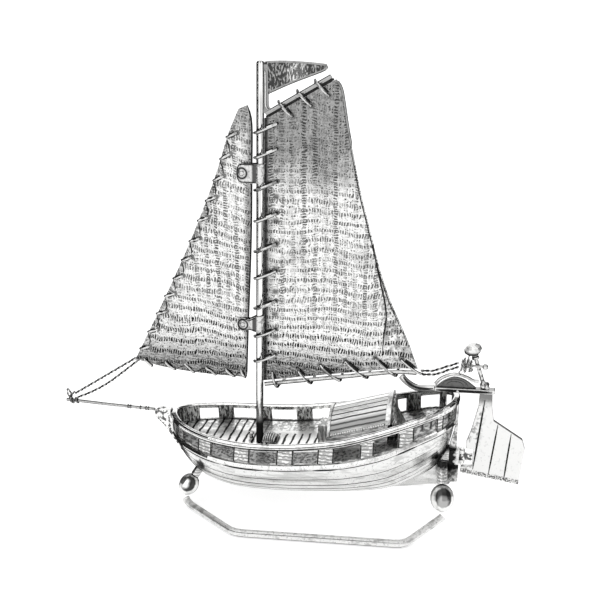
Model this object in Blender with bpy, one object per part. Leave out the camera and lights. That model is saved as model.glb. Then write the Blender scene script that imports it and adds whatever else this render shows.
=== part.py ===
"""A silver table miniature of a gaff-rigged sailing barge on its wire stand.

Every size is in millimetres and is scaled to metres as its object is made.
x runs aft from the middle of the length, y runs to starboard, and z runs up from the table.
"""

import math

import bmesh
import bpy
import numpy as np
from mathutils import Vector

MM = 0.001
GAP = 0.06

# Hull sections from stem to stern: x and half beam of the top edge, x and height of the keel line
# that the section runs down to, and how full the section is (2 is an ellipse).
HULL_SECTIONS = (
    (-30.4, 0.0, -30.3, 17.1, 2.0),
    (-29.9, 1.9, -29.4, 15.4, 2.0),
    (-28.6, 3.8, -28.0, 12.9, 2.0),
    (-26.6, 5.7, -25.6, 9.9, 2.1),
    (-22.8, 7.9, -21.6, 6.9, 2.2),
    (-17.5, 9.9, -16.5, 5.6, 2.3),
    (-10.0, 11.2, -10.0, 5.1, 2.35),
    (0.0, 11.6, 0.0, 5.3, 2.3),
    (12.0, 11.7, 12.0, 6.1, 2.1),
    (21.0, 11.3, 21.0, 6.9, 2.0),
    (29.0, 10.2, 28.6, 8.1, 1.9),
    (35.5, 8.6, 34.6, 10.9, 1.8),
    (40.3, 6.7, 38.9, 14.2, 1.7),
    (42.8, 4.7, 41.4, 17.0, 1.7),
    (44.2, 2.6, 43.0, 20.6, 1.8),
    (44.7, 0.0, 44.6, 28.6, 2.0),
)
# Height of the rail's top along the hull: x, z.
SHEER = (
    (-31.5, 23.7),
    (-26.0, 22.5),
    (-18.0, 21.8),
    (-8.0, 21.65),
    (1.4, 22.4),
    (9.4, 23.7),
    (17.4, 25.5),
    (25.4, 28.2),
    (33.4, 31.1),
    (41.4, 34.05),
    (46.2, 36.0),
)
# How much deeper the bulwark is along the hull: x, times the depths below.
DEEPENING = ((-31.5, 0.95), (0.0, 1.0), (10.0, 1.02), (19.0, 1.12), (28.0, 1.2), (37.0, 1.05), (46.2, 1.0))
# Depths below the sheer line.
RAIL_DEPTH = 1.6
RAIL_LIP = 0.45
OPENING_BOTTOM = 4.95
DECK_TOP = 5.2
DECK_THICK = 0.85
HULL_TOP = 6.15
WALL = 0.5
# How far the bulwark's foot stands out beyond its top where the hull is widest.
LEAN = 1.2
# Openings in each bulwark: first x, last x.
OPENINGS = (
    (-25.6, -20.9),
    (-16.8, -10.6),
    (-6.2, 0.9),
    (5.3, 11.5),
    (15.7, 22.1),
    (25.6, 31.3),
    (35.1, 40.2),
    (41.9, 43.5),
)

MAST_FOOT = (-6.65, 16.65)
MAST_HEAD = (-4.95, 115.4)
MAST_R = 0.95
SHEET_THICK = 0.45

GAFF_ENDS = ((-3.75, 103.3), (11.7, 112.2))
GAFF_R = 0.6
BOOM_ROUTE = ((-5.0, 33.45), (27.0, 39.9), (30.5, 40.4), (34.2, 40.5))
BOOM_R = 0.55

# Heights of the middle of each turn of wire round the mast.
LUFF_TURNS = (41.1, 48.0, 55.7, 63.7, 70.7, 78.4, 86.2, 94.1, 100.0)
LACE_R = 0.38

# Each turn of wire round the boom: x, z of its hole in the sail, x, z under the boom.
BOOM_TURNS = (
    (-2.9, 37.4, -1.6, 32.9),
    (3.6, 39.2, 7.4, 34.9),
    (9.6, 40.5, 15.0, 36.45),
    (16.1, 42.3, 21.9, 37.85),
    (23.7, 43.7, 29.2, 39.2),
    (30.2, 44.0, 35.7, 40.4),
)

# The sails' edges in the plane y = 0, as x, z.
MAIN_LEECH = (
    (34.4, 41.7),
    (33.0, 44.6),
    (31.5, 48.0),
    (28.8, 54.0),
    (26.7, 58.7),
    (24.0, 66.5),
    (21.6, 75.6),
    (19.1, 85.5),
    (16.6, 97.0),
    (15.1, 104.1),
    (14.3, 109.2),
    (12.9, 111.6),
)
MAIN_FOOT = ((-5.29, 34.55), (25.0, 40.5), (30.4, 41.4), (34.4, 41.7))
MAIN_HEAD = ((-4.13, 102.3), (12.9, 111.6))
MAIN_LUFF = ((-5.29, 34.55), (-4.13, 102.3))
JIB_LUFF = ((-40.6, 37.3), (-34.9, 48.4), (-25.4, 67.6), (-17.4, 86.0), (-13.3, 97.8), (-10.4, 104.3))
JIB_LEECH = ((-9.9, 35.0), (-9.3, 47.7), (-8.0, 72.3), (-7.5, 90.0), (-7.3, 101.0), (-8.3, 105.2))
JIB_FOOT = ((-40.6, 37.3), (-33.0, 35.8), (-22.0, 35.0), (-9.9, 35.0))
JIB_HEAD = ((-10.4, 104.3), (-8.3, 105.2))
# Each turn of wire round the jib's foot: x, z of its hole in the sail, x, z below the edge.
JIB_FOOT_TURNS = (
    (-38.3, 37.9, -36.1, 35.0),
    (-32.5, 37.6, -29.6, 34.6),
    (-27.0, 37.3, -24.3, 34.3),
    (-21.2, 37.1, -18.3, 34.2),
    (-15.7, 37.1, -13.2, 34.2),
    (-11.5, 37.2, -10.3, 34.25),
)
# The outlines of the two clips that hold the jib to the mast, as x, z from the mast's axis.
CLIP_OUTLINES = {
    "upper": ((1.6, 86.9), (1.6, 91.5), (-4.6, 91.4), (-5.4, 90.9), (-5.75, 89.9), (-5.75, 88.2), (-5.4, 87.2), (-4.6, 86.7)),
    "lower": ((1.6, 48.6), (1.6, 52.8), (-0.8, 52.4), (-2.6, 51.5)),
}
LOWER_EYE = (-4.1, 50.0, 1.75)

RUDDER_AXIS_X = 46.7
PIN_R = 0.4
GUDGEON_Z = (16.6, 20.4)

RUNNER_R = 1.0
# The stand's wire on one side, from under the front bead to under the rear one: x, |y|, z.
RUNNER_ROUTE = (
    (-24.9, 9.3, 2.1),
    (-24.3, 9.8, 1.45),
    (-23.2, 10.5, 1.05),
    (-21.8, 11.35, 0.924),
    (-10.6, 18.75, 0.924),
    (-9.2, 19.6, 0.924),
    (-7.6, 20.0, 0.924),
    (-5.8, 20.0, 0.924),
    (31.8, 16.2, 0.924),
    (33.4, 15.9, 0.95),
    (34.9, 15.2, 1.15),
    (36.1, 14.2, 1.6),
    (42.6, 9.1, 5.1),
    (43.1, 8.7, 5.6),
)
# Beads: x, |y|, z of the centre, radius across, radius along the leg.
BEADS = {
    "front": (-24.3, 8.0, 5.6, 2.6, 3.0),
    "rear": (42.7, 8.0, 10.5, 2.95, 3.5),
}
# Where each leg meets the hull: x, |y|, z, and the leg's radius.
LEGS = {
    "front": (-20.1, 5.0, 12.6, 1.15),
    "rear": (42.0, 4.0, 18.6, 1.3),
}


def material(name, colour, roughness):
    """A plain silver with the colour and roughness of the piece."""
    made = bpy.data.materials.new(name)
    made.use_nodes = True
    shader = made.node_tree.nodes["Principled BSDF"]
    shader.inputs["Base Color"].default_value = (*colour, 1.0)
    shader.inputs["Metallic"].default_value = 1.0
    shader.inputs["Roughness"].default_value = roughness
    return made


def make_materials():
    return {
        "polished": material("polished_silver", (0.86, 0.86, 0.85), 0.12),
        "satin": material("satin_silver", (0.72, 0.72, 0.71), 0.3),
        "sail": material("stamped_silver", (0.6, 0.6, 0.59), 0.38),
        "dark": material("oxidised_silver", (0.22, 0.22, 0.22), 0.5),
    }


def refine(rows, steps):
    """Rows on a smooth curve through the given ones, with that many steps from each to the next."""
    data = np.array(rows, float)
    padded = np.vstack([2 * data[0] - data[1], data, 2 * data[-1] - data[-2]])
    out = []
    for i in range(len(data) - 1):
        before, start, end, after = padded[i : i + 4]
        for step in range(steps):
            t = step / steps
            out.append(
                0.5
                * (
                    2 * start
                    + (end - before) * t
                    + (2 * before - 5 * start + 4 * end - after) * t**2
                    + (3 * start - before - 3 * end + after) * t**3
                )
            )
    out.append(data[-1])
    return np.array(out)


def resample(points, count):
    """count points at equal distances along a polyline."""
    points = np.array(points, float)
    travelled = np.concatenate([[0], np.cumsum(np.linalg.norm(np.diff(points, axis=0), axis=1))])
    wanted = np.linspace(0, travelled[-1], count)
    return np.column_stack([np.interp(wanted, travelled, column) for column in points.T])


SHEER_CURVE = refine(SHEER, 6)


def sheer(x):
    return float(np.interp(x, SHEER_CURVE[:, 0], SHEER_CURVE[:, 1]))


def drop(x, depth):
    """The height of a line that lies this deep below the sheer, deepened where the bulwark is."""
    places, shares = zip(*DEEPENING)
    return sheer(x) - depth * float(np.interp(x, places, shares))


def mast_x(z):
    """The x of the mast's axis at a height."""
    share = (z - MAST_FOOT[1]) / (MAST_HEAD[1] - MAST_FOOT[1])
    return MAST_FOOT[0] + share * (MAST_HEAD[0] - MAST_FOOT[0])


def add_mesh(name, points, faces, look, pivot=None):
    """An object from points in millimetres. A pivot is the empty on whose axis the piece turns."""
    mesh = bpy.data.meshes.new(name)
    mesh.from_pydata([Vector(p) * MM for p in points], [], faces)
    shape = bmesh.new()
    shape.from_mesh(mesh)
    bmesh.ops.remove_doubles(shape, verts=shape.verts, dist=1e-6)
    bmesh.ops.dissolve_degenerate(shape, edges=shape.edges, dist=1e-7)
    bmesh.ops.recalc_face_normals(shape, faces=shape.faces)
    shape.to_mesh(mesh)
    shape.free()
    mesh.materials.append(look)
    obj = bpy.data.objects.new(name, mesh)
    bpy.context.scene.collection.objects.link(obj)
    hang_on(obj, pivot)
    return obj


def hang_on(obj, pivot):
    """Parents obj to the pivot and leaves it where it is."""
    if pivot is not None:
        obj.parent = pivot
        obj.matrix_parent_inverse = pivot.matrix_world.inverted()


def add_pivot(name, x, z, direction):
    """An empty at x, z on the centre plane, with its own Z along the joint's axis."""
    empty = bpy.data.objects.new(name, None)
    bpy.context.scene.collection.objects.link(empty)
    empty.location = Vector((x, 0, z)) * MM
    empty.rotation_euler = Vector(direction).to_track_quat("Z", "Y").to_euler()
    bpy.context.view_layer.update()
    return empty


def loft(name, rings, look, pivot=None, closed=False):
    """A skin over rings of equal length, with its ends filled or, if closed, joined."""
    count = len(rings[0])
    points = [p for ring in rings for p in ring]
    faces = []
    spans = len(rings) if closed else len(rings) - 1
    for i in range(spans):
        a, b = i * count, (i + 1) % len(rings) * count
        for j in range(count):
            k = (j + 1) % count
            faces.append((a + j, a + k, b + k, b + j))
    if not closed:
        faces.append(tuple(range(count)))
        faces.append(tuple(range(len(points) - count, len(points))))
    return add_mesh(name, points, faces, look, pivot)


def plate(name, outline, half_thick, look, pivot=None, bevel=0.0, y=0.0):
    """A flat plate in the centre plane, from an outline of x, z points."""
    sides = [[(x, y + side * half_thick, z) for x, z in outline] for side in (-1, 1)]
    obj = loft(name, sides, look, pivot)
    if bevel:
        add_bevel(obj, bevel)
    return obj


def box(name, low, high, look, pivot=None, bevel=0.0):
    outline = [(low[0], low[2]), (high[0], low[2]), (high[0], high[2]), (low[0], high[2])]
    middle, half = (low[1] + high[1]) / 2, (high[1] - low[1]) / 2
    return plate(name, outline, half, look, pivot, bevel, middle)


def add_bevel(obj, width):
    bevel = obj.modifiers.new("edge", "BEVEL")
    bevel.width = width * MM
    bevel.segments = 2
    bevel.limit_method = "ANGLE"
    bevel.angle_limit = math.radians(40)


def tube(name, route, radius, look, pivot=None, roundness=2):
    """A round wire along a route of points, with flat ends."""
    curve = bpy.data.curves.new(name, "CURVE")
    curve.dimensions = "3D"
    curve.bevel_depth = radius * MM
    curve.bevel_resolution = roundness
    curve.use_fill_caps = True
    line = curve.splines.new("POLY")
    line.points.add(len(route) - 1)
    for point, place in zip(line.points, route):
        point.co = (*(Vector(place) * MM), 1.0)
    curve.materials.append(look)
    obj = bpy.data.objects.new(name, curve)
    bpy.context.scene.collection.objects.link(obj)
    hang_on(obj, pivot)
    return obj


def turned(name, profile, base, direction, look, pivot=None, sides=16):
    """A solid of revolution: profile holds radius, distance along the axis from the base."""
    axis = Vector(direction).normalized()
    across = axis.orthogonal().normalized()
    other = axis.cross(across)
    rings = []
    for radius, along in profile:
        ring = []
        for k in range(sides):
            angle = 2 * math.pi * k / sides
            offset = across * math.cos(angle) + other * math.sin(angle)
            ring.append(tuple(Vector(base) + axis * along + offset * radius))
        rings.append(ring)
    return loft(name, rings, look, pivot)


def bead_profile(across, along, steps=10):
    """Half an ellipse from pole to pole, as radius and distance from the centre."""
    angles = [math.pi * (k + 0.35) / (steps - 0.3) for k in range(steps)]
    return [(across * math.sin(a), -along * math.cos(a)) for a in angles]


def cut(obj, cutter):
    """Takes the cutter away from obj and hides it."""
    step = obj.modifiers.new("cut", "BOOLEAN")
    step.operation = "DIFFERENCE"
    step.solver = "EXACT"
    step.object = cutter
    cutter.hide_render = True
    cutter.display_type = "WIRE"


def joined_boxes(name, cells, look):
    """One cutter made of separate hexahedra, each given as its eight corners."""
    points, faces = [], []
    sides = ((0, 1, 2, 3), (4, 5, 6, 7), (0, 1, 5, 4), (1, 2, 6, 5), (2, 3, 7, 6), (3, 0, 4, 7))
    for cell in cells:
        start = len(points)
        points += cell
        faces += [tuple(start + corner for corner in side) for side in sides]
    return add_mesh(name, points, faces, look)


def hull_sections():
    return refine(HULL_SECTIONS, 3)


def plan_point(x, side, outward, depth):
    """A point on the bulwark's plan at x and a depth, moved outward along the normal: x, y."""
    rows = hull_sections()
    half = float(np.interp(x, rows[:, 0], rows[:, 1]))
    half += lean_out(half, depth)
    ahead = float(np.interp(x + 0.3, rows[:, 0], rows[:, 1]))
    behind = float(np.interp(x - 0.3, rows[:, 0], rows[:, 1]))
    normal = Vector((behind - ahead, 0.6)).normalized()
    return x + normal.x * outward, side * (half + normal.y * outward)


def lean_out(half, depth):
    """How far the bulwark stands out beyond its top at a depth, for a half beam of the hull."""
    share = (depth - RAIL_DEPTH) / (HULL_TOP - RAIL_DEPTH)
    return LEAN * (half / 11) ** 2 * min(1.0, max(0.0, share))


def ring_path():
    """The hull's plan as one closed loop of x, y and unit outward normals."""
    rows = hull_sections()
    port = [(x, -half) for x, half in rows[:, :2]]
    starboard = [(x, half) for x, half in rows[-2:0:-1, :2]]
    loop = np.array(port + starboard)
    ahead, behind = np.roll(loop, -1, axis=0), np.roll(loop, 1, axis=0)
    along = ahead - behind
    normals = np.column_stack([along[:, 1], -along[:, 0]])
    normals /= np.linalg.norm(normals, axis=1)[:, None]
    normals *= -1 if normals[len(rows) // 2][1] > 0 else 1
    return loop, normals


def band(name, profile, look):
    """A moulding all round the hull: profile holds distance outward, height above the sheer."""
    loop, normals = ring_path()
    rings = []
    for (x, y), (nx, ny) in zip(loop, normals):
        ring = []
        for out, up in profile:
            lean = math.copysign(lean_out(abs(y), -up), y)
            ring.append((x + nx * out, y + lean + ny * out, drop(x, -up)))
        rings.append(ring)
    return loft(name, rings, look, closed=True)


def strip(name, profile, side, first_x, last_x, look):
    """A moulding along one side only."""
    rows = hull_sections()
    stations = [x for x in rows[:, 0] if first_x < x < last_x]
    rings = []
    for x in [first_x, *stations, last_x]:
        rings.append([(*plan_point(x, side, out, -up), drop(x, -up)) for out, up in profile])
    return loft(name, rings, look)


def hull_shape(name, grow, look):
    """The hull's outside below the deck, grown by that much to the sides and below."""
    half_steps = 9
    rings = []
    for x_top, half, x_keel, z_keel, fullness in hull_sections():
        z_top = drop(x_top, HULL_TOP)
        half += lean_out(half, HULL_TOP)
        power = 2 / fullness
        port = []
        for step in range(half_steps + 1):
            angle = math.pi / 2 * step / half_steps
            out, down = math.cos(angle) ** power, math.sin(angle) ** power
            x = x_top + (x_keel - x_top) * down
            z = z_top + (z_keel - grow - z_top) * down
            port.append((x, -(half + grow) * out, z))
        starboard = [(x, -y, z) for x, y, z in reversed(port[:-1])]
        rings.append(port + starboard)
    return loft(name, rings, look)


def make_hull(looks):
    """A solid, since a decked hull shows no inside."""
    return hull_shape("hull_body", 0.0, looks["satin"])


def make_bulwark(looks):
    """The thin wall above the hull, pierced by its openings on both sides."""
    profile = ((0.0, -HULL_TOP + GAP), (0.0, -RAIL_DEPTH), (0.0, -RAIL_LIP - GAP))
    profile += tuple((-WALL, up) for _, up in reversed(profile))
    wall = band("bulwark", profile, looks["satin"])
    cells = []
    for first, last in OPENINGS:
        for side in (-1, 1):
            corners = []
            for depth in (OPENING_BOTTOM, RAIL_LIP + 0.25):
                for x, out in ((first, 1.5), (last, 1.5), (last, -2.5), (first, -2.5)):
                    corners.append((*plan_point(x, side, out, depth), drop(x, depth)))
            cells.append(corners)
    cut(wall, joined_boxes("opening_cutter", cells, looks["dark"]))


def make_mouldings(looks):
    rail = (
        (GAP, -RAIL_DEPTH),
        (0.4, -RAIL_DEPTH),
        (0.65, -1.3),
        (0.65, -0.35),
        (0.35, 0.0),
        (-0.5, 0.0),
        (-0.8, -0.2),
        (-0.8, -RAIL_LIP),
        (GAP, -RAIL_LIP),
    )
    band("rail", rail, looks["polished"])
    wale = ((GAP, -5.0), (0.5, -5.15), (0.7, -5.75), (0.5, -6.4), (GAP, -6.6), (GAP, -HULL_TOP))
    for name, side in (("wale_port", -1), ("wale_starboard", 1)):
        strip(name, wale, side, -29.5, 44.2, looks["polished"])


def make_deck(looks):
    """The deck lies inside the bulwark and follows the sheer."""
    loop, normals = ring_path()
    rings = []
    for (x, y), (nx, ny) in zip(loop, normals):
        y = y - lean_out(-y, DECK_TOP) - ny * (WALL + GAP)
        x -= nx * (WALL + GAP)
        if y > -0.6 or (rings and x < rings[-1][0][0] + 0.2):
            continue
        top = drop(x, DECK_TOP)
        low = top - DECK_THICK
        rings.append([(x, y, low), (x, y, top), (x, -y, top), (x, -y, low)])
    loft("deck", rings, looks["satin"])


def make_stem(looks):
    outline = (
        (-31.2, 23.4),
        (-31.2, 21.4),
        (-30.6, 21.0),
        (-30.6, 18.0),
        (-29.6, 15.2),
        (-28.2, 12.7),
        (-25.8, 9.7),
        (-21.8, 6.65),
        (-20.9, 5.9),
        (-23.2, 6.5),
        (-26.3, 8.8),
        (-28.9, 11.9),
        (-31.4, 15.8),
        (-33.6, 18.9),
        (-35.4, 20.6),
        (-35.9, 22.1),
        (-35.6, 22.9),
        (-34.0, 23.6),
    )
    plate("stem", outline, 0.95, looks["satin"], bevel=0.25)


def make_stern_timbers(looks):
    deadwood = (
        (46.0, 16.5),
        (46.0, 11.2),
        (40.3, 9.9),
        (35.2, 8.7),
        (30.0, 7.6),
        (26.0, 6.9),
        (30.6, 8.75),
        (34.7, 10.75),
        (39.1, 14.1),
        (41.3, 16.5),
    )
    plate("deadwood", deadwood, 0.6, looks["satin"], bevel=0.1)
    sternpost = (
        (45.2, 20.55),
        (45.2, 33.4),
        (44.85, 33.4),
        (44.85, 29.4),
        (44.25, 25.0),
        (43.25, 20.55),
    )
    plate("sternpost", sternpost, 0.7, looks["satin"])


CABIN_X = (12.7, 28.2)
CABIN_HALF = 5.4
EAVE_Z = (23.1, 28.35)


def eave(x):
    share = (x - CABIN_X[0]) / (CABIN_X[1] - CABIN_X[0])
    return EAVE_Z[0] + share * (EAVE_Z[1] - EAVE_Z[0])


def arch(x, radius, lift=0.0, steps=14):
    """A half circle across the boat at x, from port to starboard."""
    height = eave(x) + lift
    angles = [math.pi * k / steps for k in range(steps + 1)]
    return [(x, -radius * math.cos(a), height + radius * math.sin(a)) for a in angles]


def arch_band(name, x_low, x_high, outer, inner, look, lift=0.0):
    """A half-round hoop between two x positions."""
    rings = []
    for x in (x_low, x_high):
        rings.append(arch(x, outer, lift) + arch(x, inner, lift)[::-1])
    return loft(name, rings, look)


def make_cabin(looks):
    front, back = CABIN_X
    arch_band("cabin_roof", front + 0.75, back - 0.7, 5.75, 5.1, looks["satin"])
    arch_band("cabin_front_hoop", front, front + 0.7, 5.95, 4.9, looks["polished"])
    arch_band("cabin_rear_hoop", back - 0.65, back + 0.55, 6.15, 4.9, looks["polished"])
    for name, side in (("cabin_side_port", -1), ("cabin_side_starboard", 1)):
        rings = []
        for x in np.linspace(front + 0.1, back - 0.1, 7):
            low, high = drop(x, DECK_TOP) + GAP, eave(x) - GAP
            near, far = side * 4.9, side * 5.9
            rings.append([(x, near, low), (x, far, low), (x, far, high), (x, near, high)])
        loft(name, rings, looks["dark"])
    for name, x, lean, thick in (
        ("cabin_front_wall", front + 0.15, 0.0, 0.5),
        ("cabin_rear_wall", back + 0.6, 2.2, 0.6),
    ):
        low = drop(x + lean + thick, DECK_TOP) + GAP
        rings = []
        for offset in (0.0, thick):
            ring = []
            for _, y, z in arch(x, 4.8, -0.1):
                ring.append((x + offset, y, z))
            ring.append((x + offset + lean, 4.8, low))
            ring.append((x + offset + lean, -4.8, low))
            rings.append(ring)
        loft(name, rings, looks["dark"])
    x = front - 0.1
    floor = drop(x - 2.6, DECK_TOP)
    box("companion_step", (x - 2.7, -3.4, floor + 0.5), (x - 0.2, 1.6, floor + 6.2), looks["satin"], bevel=0.15)


def make_mast(looks):
    foot = Vector((MAST_FOOT[0], 0, MAST_FOOT[1]))
    head = Vector((MAST_HEAD[0], 0, MAST_HEAD[1]))
    length = (head - foot).length
    profile = ((MAST_R, 0.0), (MAST_R, length - 0.5), (0.75, length - 0.12), (0.35, length))
    turned("mast", profile, foot, head - foot, looks["polished"], sides=20)
    low, high = 107.6, 115.2
    outline = (
        (mast_x(low) + MAST_R + GAP, low),
        (2.6, 110.6),
        (9.6, 113.3),
        (10.9, 114.3),
        (9.9, 114.9),
        (2.0, 115.35),
        (mast_x(high) + MAST_R + GAP, high),
    )
    plate("pennant", outline, 0.25, looks["sail"])


def coons(bottom, top, left, right, across, up):
    """A grid of x, z inside four edges, as up + 1 rows of across + 1 points."""
    bottom, top = resample(refine(bottom, 6), across + 1), resample(refine(top, 6), across + 1)
    left, right = resample(refine(left, 6), up + 1), resample(refine(right, 6), up + 1)
    u = np.linspace(0, 1, across + 1)[None, :, None]
    v = np.linspace(0, 1, up + 1)[:, None, None]
    rails = (1 - v) * bottom[None] + v * top[None] + (1 - u) * left[:, None] + u * right[:, None]
    corners = (
        (1 - u) * (1 - v) * bottom[0]
        + u * (1 - v) * bottom[-1]
        + (1 - u) * v * top[0]
        + u * v * top[-1]
    )
    return rails - corners


def belly(grid, flat, depth):
    """How far each point of a sail is blown out: nothing within `flat` of the edge."""
    border = np.concatenate([grid[0], grid[-1], grid[:, 0], grid[:, -1]])
    away = np.linalg.norm(grid[:, :, None] - border[None, None], axis=3).min(axis=2)
    share = np.clip((away - flat) / 9, 0, 1)
    return depth * share**2 * (3 - 2 * share)


def sheet_solid(name, grid, offsets, look, pivot=None):
    """A thin closed sheet over a grid of x, z, pushed sideways by the offsets."""
    up, across = grid.shape[:2]
    half = SHEET_THICK / 2
    points = []
    for side in (-half, half):
        for i in range(up):
            points += [(grid[i, j, 0], offsets[i, j] + side, grid[i, j, 1]) for j in range(across)]
    faces = []
    back = up * across
    for i in range(up - 1):
        for j in range(across - 1):
            a = i * across + j
            cell = (a, a + 1, a + across + 1, a + across)
            faces += [cell, tuple(back + c for c in cell)]
    border = [j for j in range(across)]
    border += [i * across + across - 1 for i in range(1, up)]
    border += [(up - 1) * across + j for j in range(across - 2, -1, -1)]
    border += [i * across for i in range(up - 2, 0, -1)]
    for a, b in zip(border, border[1:] + border[:1]):
        faces.append((a, b, back + b, back + a))
    return add_mesh(name, points, faces, look, pivot)


def lacing(name, rows, near, far, radius, look, pivot=None, steps=7):
    """Wire wound round a spar and an edge. Each row is one turn's near run, as x0, z0, x1, z1."""
    route = []
    for turn, (x0, z0, x1, z1) in enumerate(rows):
        route += half_turn((x0, z0), (x1, z1), -near, steps)
        if turn + 1 < len(rows):
            route += half_turn((x1, z1), rows[turn + 1][:2], far, steps)
    route.append((rows[-1][2], 0.0, rows[-1][3]))
    return tube(name, route, radius, look, pivot, roundness=1)


def half_turn(start, end, width, steps):
    run = []
    for step in range(steps):
        angle = math.pi * step / steps
        share = (1 - math.cos(angle)) / 2
        x = start[0] + (end[0] - start[0]) * share
        z = start[1] + (end[1] - start[1]) * share
        run.append((x, width * math.sin(angle), z))
    return run


def hole_cutter(name, places, radius, look, sides=8):
    """Pins across the boat at each x, z, as one cutter."""
    points, faces = [], []
    for x, z in places:
        start = len(points)
        for y in (-3.0, 3.0):
            for k in range(sides):
                angle = 2 * math.pi * (k + 0.5) / sides
                points.append((x + radius * math.cos(angle), y, z + radius * math.sin(angle)))
        ring = list(range(start, start + sides))
        faces += [tuple(ring), tuple(k + sides for k in ring)]
        for k in range(sides):
            n = (k + 1) % sides
            faces.append((start + k, start + n, start + sides + n, start + sides + k))
    return add_mesh(name, points, faces, look)


def mast_turns():
    reach, rise = 4.35, 1.25
    return [(mast_x(z) - 1.45, z - rise, mast_x(z) + reach, z + rise) for z in LUFF_TURNS]


def spar_rows(ends, places, above, below, slip):
    """Turns round a spar at the given shares of its length, from above it to below it."""
    start, end = Vector(ends[0]), Vector(ends[1])
    along = (end - start).normalized()
    up = Vector((-along.y, along.x))
    rows = []
    for share in places:
        centre = start.lerp(end, share)
        high = centre + up * above - along * slip / 2
        low = centre - up * below + along * slip / 2
        rows.append((*high, *low))
    return rows


def make_mainsail(looks, pivot):
    grid = coons(MAIN_FOOT, MAIN_HEAD, MAIN_LUFF, MAIN_LEECH, 14, 26)
    u = np.linspace(0, 1, 15)[None, :]
    v = np.linspace(0, 1, 27)[:, None]
    curl = 2.2 * np.clip((u - 0.86) / 0.14, 0, 1) ** 1.5 * np.clip(1 - v / 0.6, 0, 1) ** 0.5
    curl = curl * np.clip(v / 0.08, 0, 1)
    sail = sheet_solid("mainsail", grid, belly(grid, 4.5, 1.4) + curl, looks["sail"], pivot)
    mast_rows = mast_turns()
    gaff_rows = spar_rows(GAFF_ENDS, (0.27, 0.56, 0.83), 1.15, 3.6, 1.3)
    boom_rows = list(BOOM_TURNS)
    holes = [(row[2], row[3]) for row in mast_rows + gaff_rows]
    holes += [(row[0], row[1]) for row in boom_rows]
    cut(sail, hole_cutter("mainsail_holes", holes, 0.62, looks["dark"]))
    for name, low, high in (("upper", 86.6, 91.6), ("lower", 48.4, 53.0)):
        axis = mast_x(low)
        cut(sail, box(f"clip_notch_{name}", (axis + 0.5, -1, low), (axis + 1.5, 1, high), looks["dark"]))
    lacing("luff_lacing", mast_rows, 1.75, 2.15, LACE_R, looks["polished"], pivot)
    lacing("gaff_lacing", gaff_rows, 1.5, 1.5, 0.33, looks["polished"], pivot)
    lacing("boom_lacing", boom_rows, 1.4, 1.4, 0.33, looks["polished"], pivot)
    gaff = [(x, 0, z) for x, z in GAFF_ENDS]
    tube("gaff", gaff, GAFF_R, looks["polished"], pivot, roundness=3)
    boom = [(x, 0, z) for x, z in BOOM_ROUTE]
    tube("boom", boom, BOOM_R, looks["polished"], pivot, roundness=3)


def edge_turns(edge, places, outside, inside, slip, side):
    """Where wire round a sail's edge runs outside it and through it, at each share of its length."""
    fine = resample(refine(edge, 8), 200)
    turns = []
    for share in places:
        at = int(share * 199)
        along = Vector(fine[min(at + 1, 199)] - fine[max(at - 1, 0)]).normalized()
        inward = Vector((along.y, -along.x)) * side
        outer = Vector(fine[at]) - inward * outside - along * slip / 2
        inner = Vector(fine[at]) + inward * inside + along * slip / 2
        turns.append((outer, inner))
    return turns


def make_jib(looks):
    grid = coons(JIB_FOOT, JIB_HEAD, JIB_LUFF, JIB_LEECH, 12, 24)
    jib = sheet_solid("jib", grid, belly(grid, 4.0, 1.2), looks["sail"])
    luff = edge_turns(JIB_LUFF, [0.075 + 0.0775 * k for k in range(12)], 0.75, 2.0, 0.6, 1)
    holes = [inner for _, inner in luff] + [(x, z) for x, z, _, _ in JIB_FOOT_TURNS]
    cut(jib, hole_cutter("jib_holes", holes, 0.55, looks["dark"]))
    luff_rows = [(*outer, *inner) for outer, inner in luff]
    lacing("jib_luff_lacing", luff_rows, 0.95, 0.95, 0.3, looks["polished"])
    lacing("jib_foot_lacing", JIB_FOOT_TURNS, 0.95, 0.95, 0.3, looks["polished"])


def keep_within(obj, shape):
    """Takes away all of obj outside the shape and hides the shape."""
    cut(obj, shape)
    obj.modifiers[-1].operation = "INTERSECT"


def make_jib_clip(name, outline, low, high, looks):
    """A strap round the mast whose two cheeks hold the jib, cut to an outline seen from the side."""
    axis = mast_x((low + high) / 2)
    outer, inner, cheek, reach = 1.4, MAST_R + GAP, 0.62, 6.2
    back = [math.radians(a) for a in range(-120, 121, 20)]
    plan = [(axis - reach, -cheek)]
    plan += [(axis + outer * math.cos(a), outer * math.sin(a)) for a in back]
    plan += [(axis - reach, cheek), (axis - reach, cheek - 0.33)]
    plan += [(axis + inner * math.cos(a), inner * math.sin(a)) for a in reversed(back)]
    plan += [(axis - reach, 0.33 - cheek)]
    rings = [[(x, y, level) for x, y in plan] for level in (low - 0.5, high + 0.5)]
    clip = loft(name, rings, looks["polished"])
    shape = plate(f"{name}_outline", [(axis + x, z) for x, z in outline], 4.0, looks["dark"])
    keep_within(clip, shape)


def make_jib_clips(looks):
    make_jib_clip("jib_clip_upper", CLIP_OUTLINES["upper"], 86.7, 91.5, looks)
    x, z, radius = LOWER_EYE
    angles = [math.radians(a) for a in range(60, 301, 20)]
    eye = [(x + radius * math.cos(a), z + radius * math.sin(a)) for a in angles]
    first, *rest = CLIP_OUTLINES["lower"]
    neck = ((-2.6, 48.6), (-0.8, 48.3))
    make_jib_clip("jib_clip_lower", [first, *rest, *eye, *neck], 47.5, 53.3, looks)


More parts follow.
